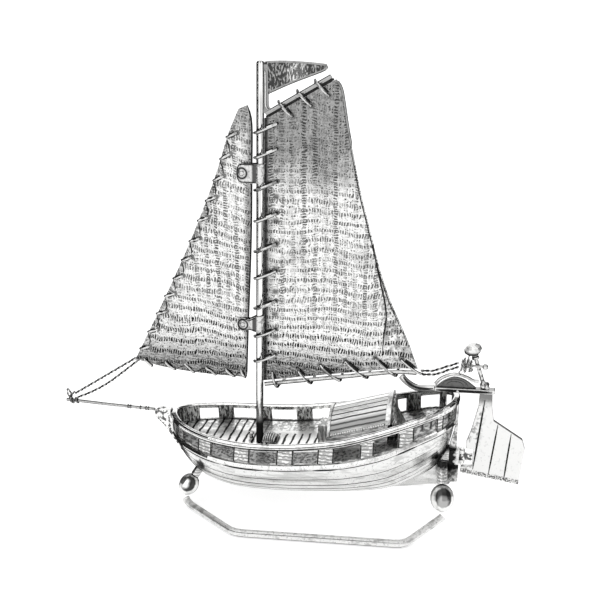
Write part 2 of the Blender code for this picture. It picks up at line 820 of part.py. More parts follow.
def make_bowsprit(looks):
    route = [(-36.05, 0, 22.7), (-49.0, 0, 22.7), (-61.99, 0, 22.9)]
    tube("bowsprit", route, 0.42, looks["polished"])
    upper = [(-41.3, 0, 37.75), (-50.0, 0, 31.6), (-58.9, 0, 25.5)]
    lower = [(-41.5, 0, 36.3), (-48.6, 0, 29.9), (-54.0, 0, 26.2), (-58.0, 0, 24.2)]
    tube("tack_rope_upper", upper, 0.3, looks["polished"], roundness=1)
    tube("tack_rope_lower", lower, 0.3, looks["polished"], roundness=1)


def make_rudder_hangings(looks, pivot):
    low, high = GUDGEON_Z
    x = RUDDER_AXIS_X
    angles = [math.radians(a) for a in range(-90, 91, 18)]
    outline = [(x + 0.75 * math.cos(a), 0.75 * math.sin(a)) for a in angles]
    outline += [(46.02, 0.75), (46.02, 1.5), (43.5, 1.5), (43.5, -1.5), (46.02, -1.5), (46.02, -0.75)]
    rings = [[(px, py, z) for px, py in outline] for z in (low, high)]
    gudgeon = loft("gudgeon", rings, looks["satin"])
    slot = box("gudgeon_slot", (46.02, -2.0, low + 1.0), (48.5, 2.0, high - 1.0), looks["dark"])
    cut(gudgeon, slot)
    bore = turned("pin_bore", ((PIN_R + 0.07, -1), (PIN_R + 0.07, 9)), (x, 0, 14), (0, 0, 1), looks["dark"], sides=12)
    cut(gudgeon, bore)
    turned(
        "pintle",
        ((PIN_R, 0), (PIN_R, 4.35), (0.62, 4.36), (0.62, 4.7)),
        (x, 0, 16.1),
        (0, 0, 1),
        looks["polished"],
        sides=12,
    )
    front = [math.radians(a) for a in range(90, 271, 18)]
    outline = [(x + 0.62 * math.cos(a), 0.62 * math.sin(a)) for a in front]
    outline += [(49.3, -0.62), (49.3, 0.62)]
    rings = [[(px, py, z) for px, py in outline] for z in (low + 1.1, high - 1.1)]
    lug = loft("rudder_lug", rings, looks["satin"], pivot)
    cut(lug, bore)
    return lug


def make_rudder(looks, pivot):
    blade = (
        (50.0, 36.55),
        (49.9, 33.0),
        (48.7, 26.7),
        (47.6, 22.9),
        (47.6, 21.0),
        (49.4, 20.9),
        (49.4, 16.2),
        (46.6, 15.7),
        (46.5, 14.0),
        (61.2, 12.3),
        (61.6, 17.7),
        (62.0, 22.5),
        (61.2, 25.0),
        (58.1, 26.9),
        (53.9, 29.5),
        (53.3, 33.0),
        (53.1, 36.75),
    )
    plate("rudder_blade", blade, 0.55, looks["satin"], pivot, bevel=0.12)
    bar = ((38.9, 36.2), (53.6, 36.85), (53.6, 38.0), (38.9, 37.35))
    plate("tiller_bar", bar, 0.95, looks["polished"], pivot, bevel=0.2)
    handle = refine(((30.5, 39.3), (31.8, 37.9), (34.2, 36.5), (36.8, 36.5), (38.84, 36.75)), 4)
    tube("tiller_handle", [(x, 0, z) for x, z in handle], 0.8, looks["polished"], pivot, roundness=3)
    crest = refine(((39.3, 37.42), (40.9, 39.0), (43.5, 40.35), (46.3, 39.75), (49.0, 37.9)), 3)
    plate("tiller_web", [tuple(p) for p in crest], 0.3, looks["dark"], pivot)
    hoop = refine(((39.0, 38.0), (40.5, 39.75), (43.4, 41.1), (46.4, 40.6), (48.2, 39.75), (49.55, 39.75)), 4)
    hoop = [(x, 0, z) for x, z in hoop]
    tube("tiller_hoop", hoop, 0.42, looks["polished"], pivot)
    foot = Vector((51.1, 0, 38.05))
    lean = Vector((-3.5, 0, 10.05))
    profile = (
        (0.5, 0.0),
        (0.95, 0.45),
        (0.95, 1.2),
        (0.5, 1.7),
        (0.48, 8.0),
        (0.9, 8.1),
        (0.9, 8.6),
        (0.5, 8.7),
        (0.6, 9.2),
        (1.6, 9.6),
        (2.2, 10.4),
        (2.05, 11.2),
        (1.1, 11.9),
    )
    turned("sheet_post", profile, foot, lean, looks["polished"], pivot)
    pin_y, pin_z = -0.9, 44.1
    turned(
        "cross_pin",
        ((0.33, 0.0), (0.33, 5.2), (0.7, 5.5), (0.7, 6.2), (0.3, 6.5)),
        (45.0, pin_y, pin_z),
        (1, 0, 0),
        looks["polished"],
        pivot,
        sides=10,
    )
    coil = turned(
        "sheet_coil",
        ((1.2, 0.0), (1.55, 0.5), (1.55, 2.2), (1.2, 2.7)),
        (45.0, pin_y, pin_z),
        (1, 0, 0),
        looks["satin"],
        pivot,
        sides=14,
    )
    cut(coil, turned("coil_bore", ((0.4, -1), (0.4, 5)), (45.0, pin_y, pin_z), (1, 0, 0), looks["dark"], sides=10))


def make_sheet_ropes(looks, pivot):
    for name, route in (
        ("sheet_rope_upper", ((35.5, 0, 41.1), (38.3, -0.2, 41.6), (41.1, -0.4, 42.9), (44.0, -0.6, 44.4))),
        ("sheet_rope_lower", ((36.4, 0, 40.25), (39.0, -0.3, 40.75), (42.0, -0.6, 42.3), (44.0, -0.9, 43.5))),
    ):
        tube(name, route, 0.3, looks["polished"], pivot, roundness=1)


def bent_wire(name, route, radius, look, sides=8):
    """A wire whose faceted section keeps a flat face straight below."""
    rings = []
    for i, place in enumerate(route):
        along = (Vector(route[min(i + 1, len(route) - 1)]) - Vector(route[max(i - 1, 0)])).normalized()
        across = along.cross(Vector((0, 0, 1))).normalized()
        up = across.cross(along)
        ring = []
        for k in range(sides):
            angle = 2 * math.pi * (k + 0.5) / sides
            ring.append(tuple(Vector(place) + (across * math.cos(angle) + up * math.sin(angle)) * radius))
        rings.append(ring)
    return loft(name, rings, look)


def make_stand(looks):
    """Each leg runs to the hull and is cut to its curve."""
    room = hull_shape("leg_cutter", 0.1, looks["dark"])
    for side, hand in ((-1, "port"), (1, "starboard")):
        for end, (x, y, z, across, along) in BEADS.items():
            centre = Vector((x, side * y, z))
            hull_x, hull_y, hull_z, leg_r = LEGS[end]
            top = Vector((hull_x, side * hull_y, hull_z))
            lean = (top - centre).normalized()
            name = f"stand_{end}_bead_{hand}"
            turned(name, bead_profile(across, along), centre, lean, looks["polished"])
            start = centre + lean * (along + GAP)
            rod = ((leg_r, 0), (leg_r, (top - start).length))
            leg = turned(f"stand_{end}_leg_{hand}", rod, start, lean, looks["polished"])
            cut(leg, room)
        route = [(x, side * y, z) for x, y, z in RUNNER_ROUTE]
        bent_wire(f"stand_runner_{hand}", route, RUNNER_R, looks["polished"])


def clear_scene():
    for obj in list(bpy.data.objects):
        bpy.data.objects.remove(obj)


def main():
    clear_scene()
    looks = make_materials()
    make_hull(looks)
    make_bulwark(looks)
    make_mouldings(looks)
    make_deck(looks)
    make_stem(looks)
    make_stern_timbers(looks)
    make_cabin(looks)
    make_mast(looks)
    mast_line = (MAST_HEAD[0] - MAST_FOOT[0], 0, MAST_HEAD[1] - MAST_FOOT[1])
    sail_pivot = add_pivot("sail_pivot", *MAST_FOOT, mast_line)
    make_mainsail(looks, sail_pivot)
    make_sheet_ropes(looks, sail_pivot)
    make_jib(looks)
    make_jib_clips(looks)
    make_bowsprit(looks)
    rudder_pivot = add_pivot("rudder_pivot", RUDDER_AXIS_X, GUDGEON_Z[0], (0, 0, 1))
    make_rudder_hangings(looks, rudder_pivot)
    make_rudder(looks, rudder_pivot)
    make_stand(looks)


main()
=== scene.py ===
"""Looks of the silver sailing barge on its stand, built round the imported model.

Lengths named in millimetres are scaled by MM where they reach Blender.
"""

import math

import bmesh
import bpy
import numpy as np
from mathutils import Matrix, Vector
from mathutils.bvhtree import BVHTree


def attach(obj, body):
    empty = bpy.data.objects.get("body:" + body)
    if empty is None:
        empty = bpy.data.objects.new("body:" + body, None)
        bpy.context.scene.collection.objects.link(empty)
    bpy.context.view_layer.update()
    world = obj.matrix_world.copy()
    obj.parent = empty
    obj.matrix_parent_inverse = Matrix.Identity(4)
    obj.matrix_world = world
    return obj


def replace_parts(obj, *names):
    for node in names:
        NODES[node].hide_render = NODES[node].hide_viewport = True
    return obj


MM = 0.001

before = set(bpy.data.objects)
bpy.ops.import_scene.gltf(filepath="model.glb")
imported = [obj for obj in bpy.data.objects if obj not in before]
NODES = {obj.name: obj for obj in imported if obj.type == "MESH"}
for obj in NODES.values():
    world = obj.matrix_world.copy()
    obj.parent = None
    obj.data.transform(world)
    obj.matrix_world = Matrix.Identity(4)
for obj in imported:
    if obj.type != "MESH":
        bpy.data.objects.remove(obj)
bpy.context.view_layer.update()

BOAT = "boat"
SAILS = "mainsail_and_spars"
RUDDER = "rudder_and_tiller"



class Shader:
    """Builds a node material from plain arithmetic on sockets and numbers."""

    def __init__(self, name):
        self.material = bpy.data.materials.new(name)
        self.material.use_nodes = True
        self.tree = self.material.node_tree
        self.bsdf = self.tree.nodes["Principled BSDF"]
        self.coords = self.tree.nodes.new("ShaderNodeTexCoord").outputs["Object"]
        split = self.tree.nodes.new("ShaderNodeSeparateXYZ")
        self.tree.links.new(self.coords, split.inputs[0])
        self.x, self.y, self.z = [self.math("MULTIPLY", split.outputs[i], 1 / MM) for i in range(3)]

    def put(self, socket, value):
        if isinstance(value, bpy.types.NodeSocket):
            self.tree.links.new(value, socket)
        else:
            socket.default_value = value

    def math(self, operation, *values, clamp=False):
        node = self.tree.nodes.new("ShaderNodeMath")
        node.operation = operation
        node.use_clamp = clamp
        for socket, value in zip(node.inputs, values):
            self.put(socket, value)
        return node.outputs[0]

    def add(self, a, b):
        return self.math("ADD", a, b)

    def sub(self, a, b):
        return self.math("SUBTRACT", a, b)

    def mul(self, a, b):
        return self.math("MULTIPLY", a, b)

    def most(self, *values):
        out = values[0]
        for value in values[1:]:
            out = self.math("MAXIMUM", out, value)
        return out

    def step(self, value, low, high):
        """0 below low, 1 above high, smooth between; low may be over high."""
        node = self.tree.nodes.new("ShaderNodeMapRange")
        node.interpolation_type = "SMOOTHSTEP"
        self.put(node.inputs["Value"], value)
        if low > high:
            low, high, ends = high, low, (1.0, 0.0)
        else:
            ends = (0.0, 1.0)
        self.put(node.inputs["From Min"], low)
        self.put(node.inputs["From Max"], high)
        self.put(node.inputs["To Min"], ends[0])
        self.put(node.inputs["To Max"], ends[1])
        return node.outputs["Result"]

    def lines(self, value, period, width, soft=0.05):
        """1 on a line at each whole multiple of the period, 0 between."""
        away = self.math("ABSOLUTE", self.sub(self.math("FRACT", self.add(self.math("DIVIDE", value, period), 0.5)), 0.5))
        half = width / period / 2
        return self.step(away, half + soft / period, half)

    def vector(self, x, y, z):
        node = self.tree.nodes.new("ShaderNodeCombineXYZ")
        for socket, value in zip(node.inputs, (x, y, z)):
            self.put(socket, value)
        return node.outputs[0]

    def noise(self, size, detail=3.0, rough=0.55, where=None):
        """Noise from 0 to 1 whose features are about size millimetres."""
        node = self.tree.nodes.new("ShaderNodeTexNoise")
        node.inputs["Scale"].default_value = 1.0
        node.inputs["Detail"].default_value = detail
        node.inputs["Roughness"].default_value = rough
        if where is None:
            where = self.vector(self.x, self.y, self.z)
        scaled = self.tree.nodes.new("ShaderNodeVectorMath")
        scaled.operation = "SCALE"
        self.tree.links.new(where, scaled.inputs[0])
        scaled.inputs["Scale"].default_value = 1 / size
        self.tree.links.new(scaled.outputs[0], node.inputs["Vector"])
        return node.outputs["Fac"]

    def tarnish_and_shade(self, distance, low=0.35, high=0.85):
        """1 deep in corners and crevices: the tarnish that polishing leaves there, and painted shade where less light
        reaches.
        """
        node = self.tree.nodes.new("ShaderNodeAmbientOcclusion")
        node.samples = 8
        node.inputs["Distance"].default_value = distance * MM
        return self.step(node.outputs["AO"], high, low)

    def mix(self, share, a, b):
        node = self.tree.nodes.new("ShaderNodeMix")
        node.data_type = "RGBA"
        self.put(node.inputs["Factor"], share)
        self.put(node.inputs[6], (*a, 1.0) if isinstance(a, tuple) else a)
        self.put(node.inputs[7], (*b, 1.0) if isinstance(b, tuple) else b)
        return node.outputs[2]

    def bump(self, height, depth, strength=1.0):
        node = self.tree.nodes.new("ShaderNodeBump")
        node.inputs["Strength"].default_value = strength
        node.inputs["Distance"].default_value = depth * MM
        self.put(node.inputs["Height"], height)
        if self.bsdf.inputs["Normal"].is_linked:
            self.tree.links.new(self.bsdf.inputs["Normal"].links[0].from_socket, node.inputs["Normal"])
        self.tree.links.new(node.outputs[0], self.bsdf.inputs["Normal"])

    def finish(self, colour, roughness):
        self.put(self.bsdf.inputs["Base Color"], colour)
        self.put(self.bsdf.inputs["Roughness"], roughness)
        self.bsdf.inputs["Metallic"].default_value = 1.0
        return self.material


BRIGHT = (0.78, 0.78, 0.77)
BLACK = (0.02, 0.02, 0.02)


def tone(level):
    return (level, level, level * 0.99)


def painted_edge_shade(s, near=0.72, far=0.4):
    """Painted shade: 1 on faces that look along the boat or up and down, 0 on those that face its sides, so rods and
    wires darken at their edges.
    """
    normal = s.tree.nodes.new("ShaderNodeSeparateXYZ")
    s.tree.links.new(s.tree.nodes["Texture Coordinate"].outputs["Normal"], normal.inputs[0])
    return s.step(s.math("ABSOLUTE", normal.outputs[1]), near, far)


def polished(name, roughness=0.12, tarnish_and_shade=1.0, dents=0.03, low=0.3, high=0.8, base=0.76, edge_shade_share=0.0):
    s = Shader(name)
    # Tarnish and painted shade in hollows, painted shade on the edges, then stains and specks.
    dark = s.tarnish_and_shade(tarnish_and_shade, low, high)
    if edge_shade_share:
        dark = s.most(dark, s.mul(painted_edge_shade(s), edge_shade_share))
    stain = s.mul(s.step(s.noise(2.2), 0.5, 0.7), 0.4)
    s.bump(s.noise(1.6, 2.0), dents)
    speck = s.mul(s.step(s.noise(0.5, 2.0), 0.56, 0.7), 0.45)
    return s.finish(s.mix(s.most(dark, stain, speck), tone(base), BLACK), roughness)


def make_oxide_and_shadow():
    """The black left in scribed lines; the same black gives the painted shadows under wires, along creases, on the
    jib's folded edge and under the gaff.
    """
    s = Shader("oxide_and_shadow_line")
    return s.finish(s.mix(s.noise(0.8), tone(0.006), tone(0.05)), 0.6)


def make_sail(name, slope, foot, head, seed):
    """A stamped gauze: columns of short dashes that turn to rows lower down, worn away in places, with painted shade at
    the head, along the foot and in hollows.
    """
    s = Shader(name)
    lean = s.mul(s.step(s.z, 32.0, 75.0), slope)
    wave = s.mul(s.sub(s.noise(16, 1.0), 0.5), 4.0)
    small = s.mul(s.sub(s.noise(1.7, 2.0), 0.5), 1.3)
    u = s.add(s.add(s.x, s.mul(wave, 0.35)), seed)
    v = s.add(s.add(s.z, s.mul(s.x, lean)), wave)
    row = s.lines(s.add(v, small), 2.5, 0.74, 0.14)
    column = s.lines(s.add(u, small), 2.6, 0.8, 0.14)
    up_dash = s.lines(s.add(u, small), 0.64, 0.22, 0.12)
    across_dash = s.lines(s.add(v, small), 0.66, 0.24, 0.12)
    worn = s.step(s.noise(5.0, 3.0), 0.36, 0.52)
    top = s.step(s.add(s.z, s.mul(s.noise(7), 14)), head[0] + 7, head[1] + 7)
    low_down = s.step(s.add(s.z, s.mul(s.noise(9.0), 16)), foot[1] + 22, foot[1] + 8)
    fickle = s.step(s.noise(0.9, 2.0), 0.34, 0.5)
    row_share = s.mul(s.add(s.mul(s.most(s.mul(worn, 0.75), low_down), 0.72), 0.28), s.sub(1.0, s.mul(top, 0.6)))
    chosen = s.step(s.noise(4.0, 2.0, where=s.vector(u, s.mul(s.z, 0.12), seed)), 0.4, 0.56)
    column_share = s.mul(s.sub(1.0, s.mul(low_down, 0.8)), s.add(s.mul(chosen, 0.62), 0.22))
    row_dash = s.mul(s.mul(row, up_dash), row_share)
    column_dash = s.mul(s.mul(column, across_dash), column_share)
    stray = s.mul(s.mul(up_dash, across_dash), s.mul(s.step(s.noise(0.8, 1.0), 0.52, 0.6), 0.8))
    dash = s.mul(s.most(row_dash, column_dash, stray), s.add(s.mul(fickle, 0.4), 0.6))
    pits = s.step(s.noise(0.34, 2.0), 0.5, 0.68)
    grain = s.step(s.noise(1.1, 3.0), 0.5, 0.72)
    s.bump(s.sub(1.0, s.most(dash, s.mul(pits, 0.35))), 0.12)
    bottom = s.step(s.add(s.z, s.mul(s.noise(4), 6)), foot[1] + 3, foot[0] + 3)
    ripple = s.mul(bottom, s.lines(s.add(s.z, s.mul(s.noise(3.0, 2.0), 3.0)), 0.75, 0.2, 0.3))
    edge = s.tarnish_and_shade(1.5, 0.35, 0.85)
    blotch = s.mul(s.step(s.noise(8.0, 4.0), 0.5, 0.68), 0.22)
    # Painted shade: the head and the band along the foot are darkened.
    head_shade = s.mul(top, s.add(s.mul(s.noise(2.0, 3.0), 0.42), 0.44))
    shade = s.most(head_shade, s.mul(bottom, 0.6), s.mul(ripple, 0.85), edge, blotch)
    shade = s.add(shade, s.mul(s.most(s.mul(pits, s.add(0.26, s.mul(low_down, 0.16))), s.mul(grain, 0.14)), s.sub(1.0, s.mul(shade, 0.7))))
    return s, dash, shade


def finish_sail(s, dash, shade):
    ground = s.mix(s.math("MINIMUM", shade, 1.0), tone(0.84), tone(0.04))
    return s.finish(s.mix(dash, ground, tone(0.01)), s.add(0.36, s.mul(dash, 0.2)))


def make_mainsail_look():
    """The mainsail: painted shade beside the mast, where each lacing enters, and on the loose flap aft."""
    s, dash, shade = make_sail("stamped_mainsail", 0.0, (38, 47), (82, 95), 0.0)
    from_mast = s.add(s.x, s.mul(s.z, -0.0172))
    # Painted shade beside the mast, round each lacing's end and on the curled flap aft.
    mast_shade = s.add(s.mul(s.step(from_mast, -2.6, -5.2), 0.55), s.mul(s.step(from_mast, -4.3, -5.4), 0.45))
    turn = s.math("ABSOLUTE", s.mul(s.sub(s.math("FRACT", s.add(s.math("DIVIDE", s.sub(s.z, 41.0), 6.1), 0.5)), 0.5), 6.1))
    lacing_shade = s.mul(s.step(turn, 1.3, 0.2), s.step(s.math("ABSOLUTE", s.add(from_mast, 2.9)), 1.5, 0.3))
    lower = s.step(s.z, 66.0, 58.0)
    leech = s.sub(s.x, s.mul(s.sub(66.0, s.z), 0.11))
    flap_shade = s.mul(s.mul(lower, s.step(leech, 23.6, 24.0)), s.step(s.noise(1.6), 0.4, 0.62))
    return finish_sail(s, dash, s.most(shade, mast_shade, s.mul(lacing_shade, 0.8), s.mul(flap_shade, 0.6)))


def make_jib_look():
    """The jib: painted shade down its after edge, where it folds, and darker along its luff."""
    s, dash, shade = make_sail("stamped_jib", 0.24, (36, 48), (91, 108), 1.3)
    # Painted shade down the after edge, where the jib folds.
    leech = s.step(s.add(s.x, s.mul(s.sub(s.z, 40.0), -0.033)), -11.3, -9.6)
    share = s.mul(s.sub(s.z, 37.3), 1 / 62)
    bow = s.mul(s.mul(share, s.sub(1.0, share)), 6.0)
    from_luff = s.sub(s.sub(s.x, s.mul(s.sub(s.z, 127.4), 0.4507)), bow)
    luff = s.step(s.add(from_luff, s.mul(s.noise(1.1, 3.0), 2.6)), 4.2, 1.6)
    rough = s.add(s.mul(s.step(s.noise(0.7, 3.0), 0.4, 0.6), 0.5), 0.3)
    return finish_sail(s, dash, s.most(shade, s.mul(leech, s.add(s.mul(s.noise(1.0), 0.7), 0.35)), s.mul(luff, rough)))


def make_deck():
    """Bright planks across the boat, a bright waterway strip and a dark worked band beyond it, with painted shade along
    the near side under the bulwark.
    """
    s = Shader("planked_silver")
    wobble = s.mul(s.sub(s.noise(3.0), 0.5), 0.9)
    seam = s.lines(s.add(s.x, wobble), 2.15, 0.36, 0.16)
    aft = s.step(s.x, -7.5, -5.5)
    far = s.mul(aft, s.step(s.math("ABSOLUTE", s.y), 6.0, 6.3))
    strip = s.mul(s.mul(aft, s.step(s.math("ABSOLUTE", s.y), 4.3, 4.6)), s.sub(1.0, far))
    worked = s.mul(far, s.add(s.mul(s.step(s.noise(0.9, 3.0), 0.48, 0.58), 0.5), 0.12))
    narrowing = s.mul(s.math("MAXIMUM", s.sub(-8.0, s.x), 0.0), 0.25)
    fore_edge = s.mul(s.sub(1.0, aft), s.step(s.add(s.math("ABSOLUTE", s.y), narrowing), 6.0, 7.4))
    stroke = s.mul(fore_edge, s.add(s.mul(s.step(s.noise(1.2, 3.0), 0.44, 0.56), 0.4), 0.1))
    cockpit = s.mul(s.step(s.x, 26.0, 27.0), s.add(s.mul(s.step(s.noise(1.1, 3.0), 0.44, 0.58), 0.5), 0.35))
    # Painted shade: the deck along the near side, under the bulwark, is darkened, with mottling in it.
    inward = s.sub(s.y, s.mul(s.step(s.x, -8.0, -21.0), 5.4))
    near = s.mul(s.step(inward, -5.6, -6.2), s.add(s.mul(s.step(s.noise(0.8, 3.0), 0.44, 0.6), 0.28), 0.68))
    seam = s.mul(seam, s.sub(1.0, s.most(strip, s.mul(far, 0.6), s.step(inward, -5.6, -6.2))))
    dark = s.most(s.tarnish_and_shade(1.3, 0.2, 0.65), seam, worked, stroke, cockpit, near)
    s.bump(s.sub(1.0, dark), 0.2)
    return s.finish(s.mix(dark, tone(0.96), BLACK), 0.28)


def make_engraved():
    """The bulwark: hammered posts outside, and painted shade with tarnish and scratches on its inner face."""
    s = Shader("engraved_silver")
    normal = s.tree.nodes.new("ShaderNodeSeparateXYZ")
    s.tree.links.new(s.tree.nodes["Texture Coordinate"].outputs["Normal"], normal.inputs[0])
    # Painted shade: faces turned in towards the deck are darkened.
    facing_in = s.step(s.mul(normal.outputs[1], s.math("SIGN", s.y)), -0.1, -0.4)
    mottle = s.step(s.noise(0.8, 3.0), 0.46, 0.56)
    scratches = s.step(s.noise(1.0, 2.0, where=s.vector(s.mul(s.x, 3.0), s.y, s.mul(s.z, 0.6))), 0.46, 0.54)
    engraved = s.mul(s.lines(s.add(s.z, s.mul(s.sub(s.noise(1.5, 2.0), 0.5), 1.0)), 0.85, 0.16, 0.24), 0.72)
    outside = s.most(s.mul(mottle, 0.5), engraved)
    inside = s.add(s.mul(scratches, 0.86), 0.06)
    dark = s.most(s.tarnish_and_shade(1.6, 0.3, 0.8), s.add(s.mul(facing_in, s.sub(inside, outside)), outside))
    s.bump(s.noise(0.7, 2.0), 0.25)
    return s.finish(s.mix(dark, BRIGHT, BLACK), 0.3)


def make_roof():
    """Planks along the roof, parted by dark lines, with painted shade greying them towards the eaves."""
    s = Shader("roof_planks")
    eave = s.add(s.mul(s.sub(s.x, 12.7), 0.3387), 23.1)
    turn = s.math("ARCTAN2", s.sub(s.z, eave), s.math("ABSOLUTE", s.y))
    wander = s.mul(s.sub(s.noise(3.0), 0.5), 0.05)
    line = s.lines(s.add(turn, wander), 0.235, 0.035, 0.03)
    faint = s.mul(s.lines(s.add(turn, s.mul(wander, 2.0)), 0.0783, 0.012, 0.03), s.mul(s.step(turn, 1.0, 0.5), 0.4))
    # Painted shade: greyer as the roof slopes down towards the eaves.
    low = s.mul(s.mul(s.step(turn, 0.85, 0.45), s.step(turn, 0.1, 0.22)), 0.66)
    s.bump(s.sub(1.0, line), 0.15)
    streak = s.mul(s.step(s.noise(1.0, 3.0, where=s.vector(s.mul(s.x, 0.2), s.y, s.z)), 0.5, 0.7), 0.3)
    dark = s.most(s.mul(line, 0.9), faint, low, streak, s.tarnish_and_shade(0.8))
    return s.finish(s.mix(dark, tone(0.99), BLACK), 0.42)


def make_scratched(name, angle, dark_share):
    """Rough engraved strokes that run at an angle in the plane of x and z."""
    s = Shader(name)
    c, t = math.cos(angle), math.sin(angle)
    along = s.add(s.mul(s.x, c), s.mul(s.z, t))
    across = s.sub(s.mul(s.z, c), s.mul(s.x, t))
    strokes = s.step(s.noise(0.6, 3.0, where=s.vector(s.mul(along, 0.2), s.mul(s.y, 0.5), across)), 0.42, 0.6)
    s.bump(strokes, 0.15)
    dark = s.most(s.tarnish_and_shade(1.6, 0.3, 0.8), s.mul(strokes, dark_share))
    return s.finish(s.mix(dark, BRIGHT, BLACK), 0.3)


def make_mast_look():
    """Drawn wire: fine lines along it, black at the foot, and painted shade down its edges."""
    s = Shader("drawn_silver")
    grain = s.step(s.noise(0.5, 2.0, where=s.vector(s.x, s.y, s.mul(s.z, 0.03))), 0.5, 0.68)
    foot = s.step(s.add(s.z, s.mul(s.noise(1.5), 2.0)), 26.5, 23.0)
    s.bump(s.noise(1.5), 0.03)
    dark = s.most(s.tarnish_and_shade(0.9, 0.3, 0.85), s.mul(grain, 0.66), foot, s.mul(painted_edge_shade(s), 0.9))
    return s.finish(s.mix(dark, tone(0.84), BLACK), s.add(0.14, s.mul(foot, 0.4)))


def make_blade_look():
    """The rudder: bright, stained near its fore edge and hatched along its bottom."""
    s = Shader("rudder_silver")
    fore = s.step(s.sub(s.x, s.mul(s.sub(s.z, 14.0), 0.12)), 50.5, 48.5)
    stain = s.mul(fore, s.step(s.noise(0.9, 3.0), 0.45, 0.65))
    bottom = s.step(s.add(s.z, s.mul(s.x, 0.115)), 20.9, 20.4)
    hatch = s.mul(bottom, s.step(s.noise(0.45, 2.0), 0.42, 0.6))
    s.bump(s.noise(1.2, 2.0), 0.08)
    head = s.step(s.add(s.z, s.mul(s.noise(1.0, 3.0), 2.5)), 34.0, 37.0)
    speck = s.mul(s.step(s.noise(0.9, 3.0), 0.58, 0.7), 0.16)
    dark = s.most(s.tarnish_and_shade(1.0), s.mul(stain, 0.6), s.mul(hatch, 0.9), s.mul(head, 0.75), speck)
    return s.finish(s.mix(dark, tone(0.76), BLACK), 0.45)


def make_clip_look():
    """The clips: darker in a ring round each rivet, and painted shade in the recess where they bend to the mast."""
    s = Shader("clip_silver")
    rings = []
    for x, z in ((-9.8, 89.1), (-10.35, 50.0)):
        away = away_from(s, x, z)
        rings.append(s.mul(s.step(away, 1.75, 1.3), s.step(away, 0.9, 1.15)))
    axis = s.add(s.mul(s.z, 0.0172), -6.937)
    # Painted shade in the recess where the clip bends to the mast.
    bend_shade = s.step(s.math("ABSOLUTE", s.add(s.sub(s.x, axis), 1.15)), 0.85, 0.35)
    blot = s.mul(s.step(s.noise(0.9, 3.0), 0.45, 0.62), 0.5)
    s.bump(s.noise(0.8, 2.0), 0.2)
    dark = s.most(*rings, s.mul(bend_shade, 0.9), blot, s.tarnish_and_shade(1.6, 0.3, 0.95))
    return s.finish(s.mix(dark, tone(0.64), BLACK), 0.3)


def away_from(s, x, z):
    """Distance in the plane of x and z from a point, in millimetres."""
    dx, dz = s.sub(s.x, x), s.sub(s.z, z)
    return s.math("SQRT", s.add(s.mul(dx, dx), s.mul(dz, dz)))


def make_hull_look():
    """The hull: streaked along its strakes, mottled at the stern and black round the stand's rear legs."""
    s = Shader("hull_silver")
    streak = s.step(s.noise(1.2, 3.0, where=s.vector(s.mul(s.x, 0.12), s.y, s.z)), 0.46, 0.66)
    speck = s.mul(s.step(s.noise(0.6, 3.0), 0.56, 0.7), 0.35)
    stern = s.mul(s.step(s.x, 40.0, 42.5), s.add(s.mul(s.step(s.noise(0.9, 3.0), 0.42, 0.6), 0.6), 0.2))
    rough_edge = s.mul(s.noise(1.4, 3.0), 3.0)
    rear = s.step(s.add(away_from(s, 43.2, 17.8), rough_edge), 6.6, 4.6)
    fore = s.step(s.add(away_from(s, -20.4, 12.4), rough_edge), 4.0, 2.6)
    s.bump(s.noise(4.0, 2.0), 0.12)
    dark = s.most(s.tarnish_and_shade(1.8, 0.3, 0.85), s.mul(streak, 0.3), speck, stern, rear, fore)
    return s.finish(s.mix(dark, tone(0.76), BLACK), 0.24)


def make_cast_look():
    """Rough castings: bright, with black left in small pits."""
    s = Shader("cast_silver")
    pit = s.mul(s.step(s.noise(1.0, 3.0), 0.49, 0.56), 0.9)
    s.bump(s.noise(0.9, 2.0), 0.3)
    return s.finish(s.mix(s.most(pit, s.tarnish_and_shade(1.5, 0.35, 0.9)), tone(0.84), BLACK), 0.3)


def make_gudgeon_look():
    """The gudgeon: black where it meets the sternpost, bright round its eye."""
    s = Shader("gudgeon_silver")
    root = s.step(s.add(s.x, s.mul(s.sub(s.noise(1.0, 3.0), 0.5), 1.5)), 45.5, 44.8)
    speck = s.mul(s.step(s.noise(0.5, 2.0), 0.54, 0.7), 0.5)
    s.bump(s.noise(0.9, 2.0), 0.15)
    return s.finish(s.mix(s.most(root, speck, s.tarnish_and_shade(1.2, 0.3, 0.9)), tone(0.78), BLACK), 0.34)


def make_leg_look():
    """The stand's legs: engraved, and black where they meet the hull."""
    s = Shader("leg_silver")
    wave = s.mul(s.sub(s.noise(0.8, 2.0), 0.5), 1.0)
    cuts = s.mul(s.lines(s.add(s.z, wave), 0.7, 0.2, 0.2), 0.6)
    behind = s.step(s.x, 0.0, 1.0)
    high = s.most(s.mul(behind, s.step(s.add(s.z, s.mul(wave, 2.0)), 16.2, 18.0)), s.mul(s.sub(1.0, behind), s.step(s.z, 9.0, 11.0)))
    s.bump(s.noise(0.7, 2.0), 0.2)
    dark = s.most(s.tarnish_and_shade(1.6, 0.3, 0.85), cuts, high)
    return s.finish(s.mix(dark, tone(0.74), BLACK), 0.3)


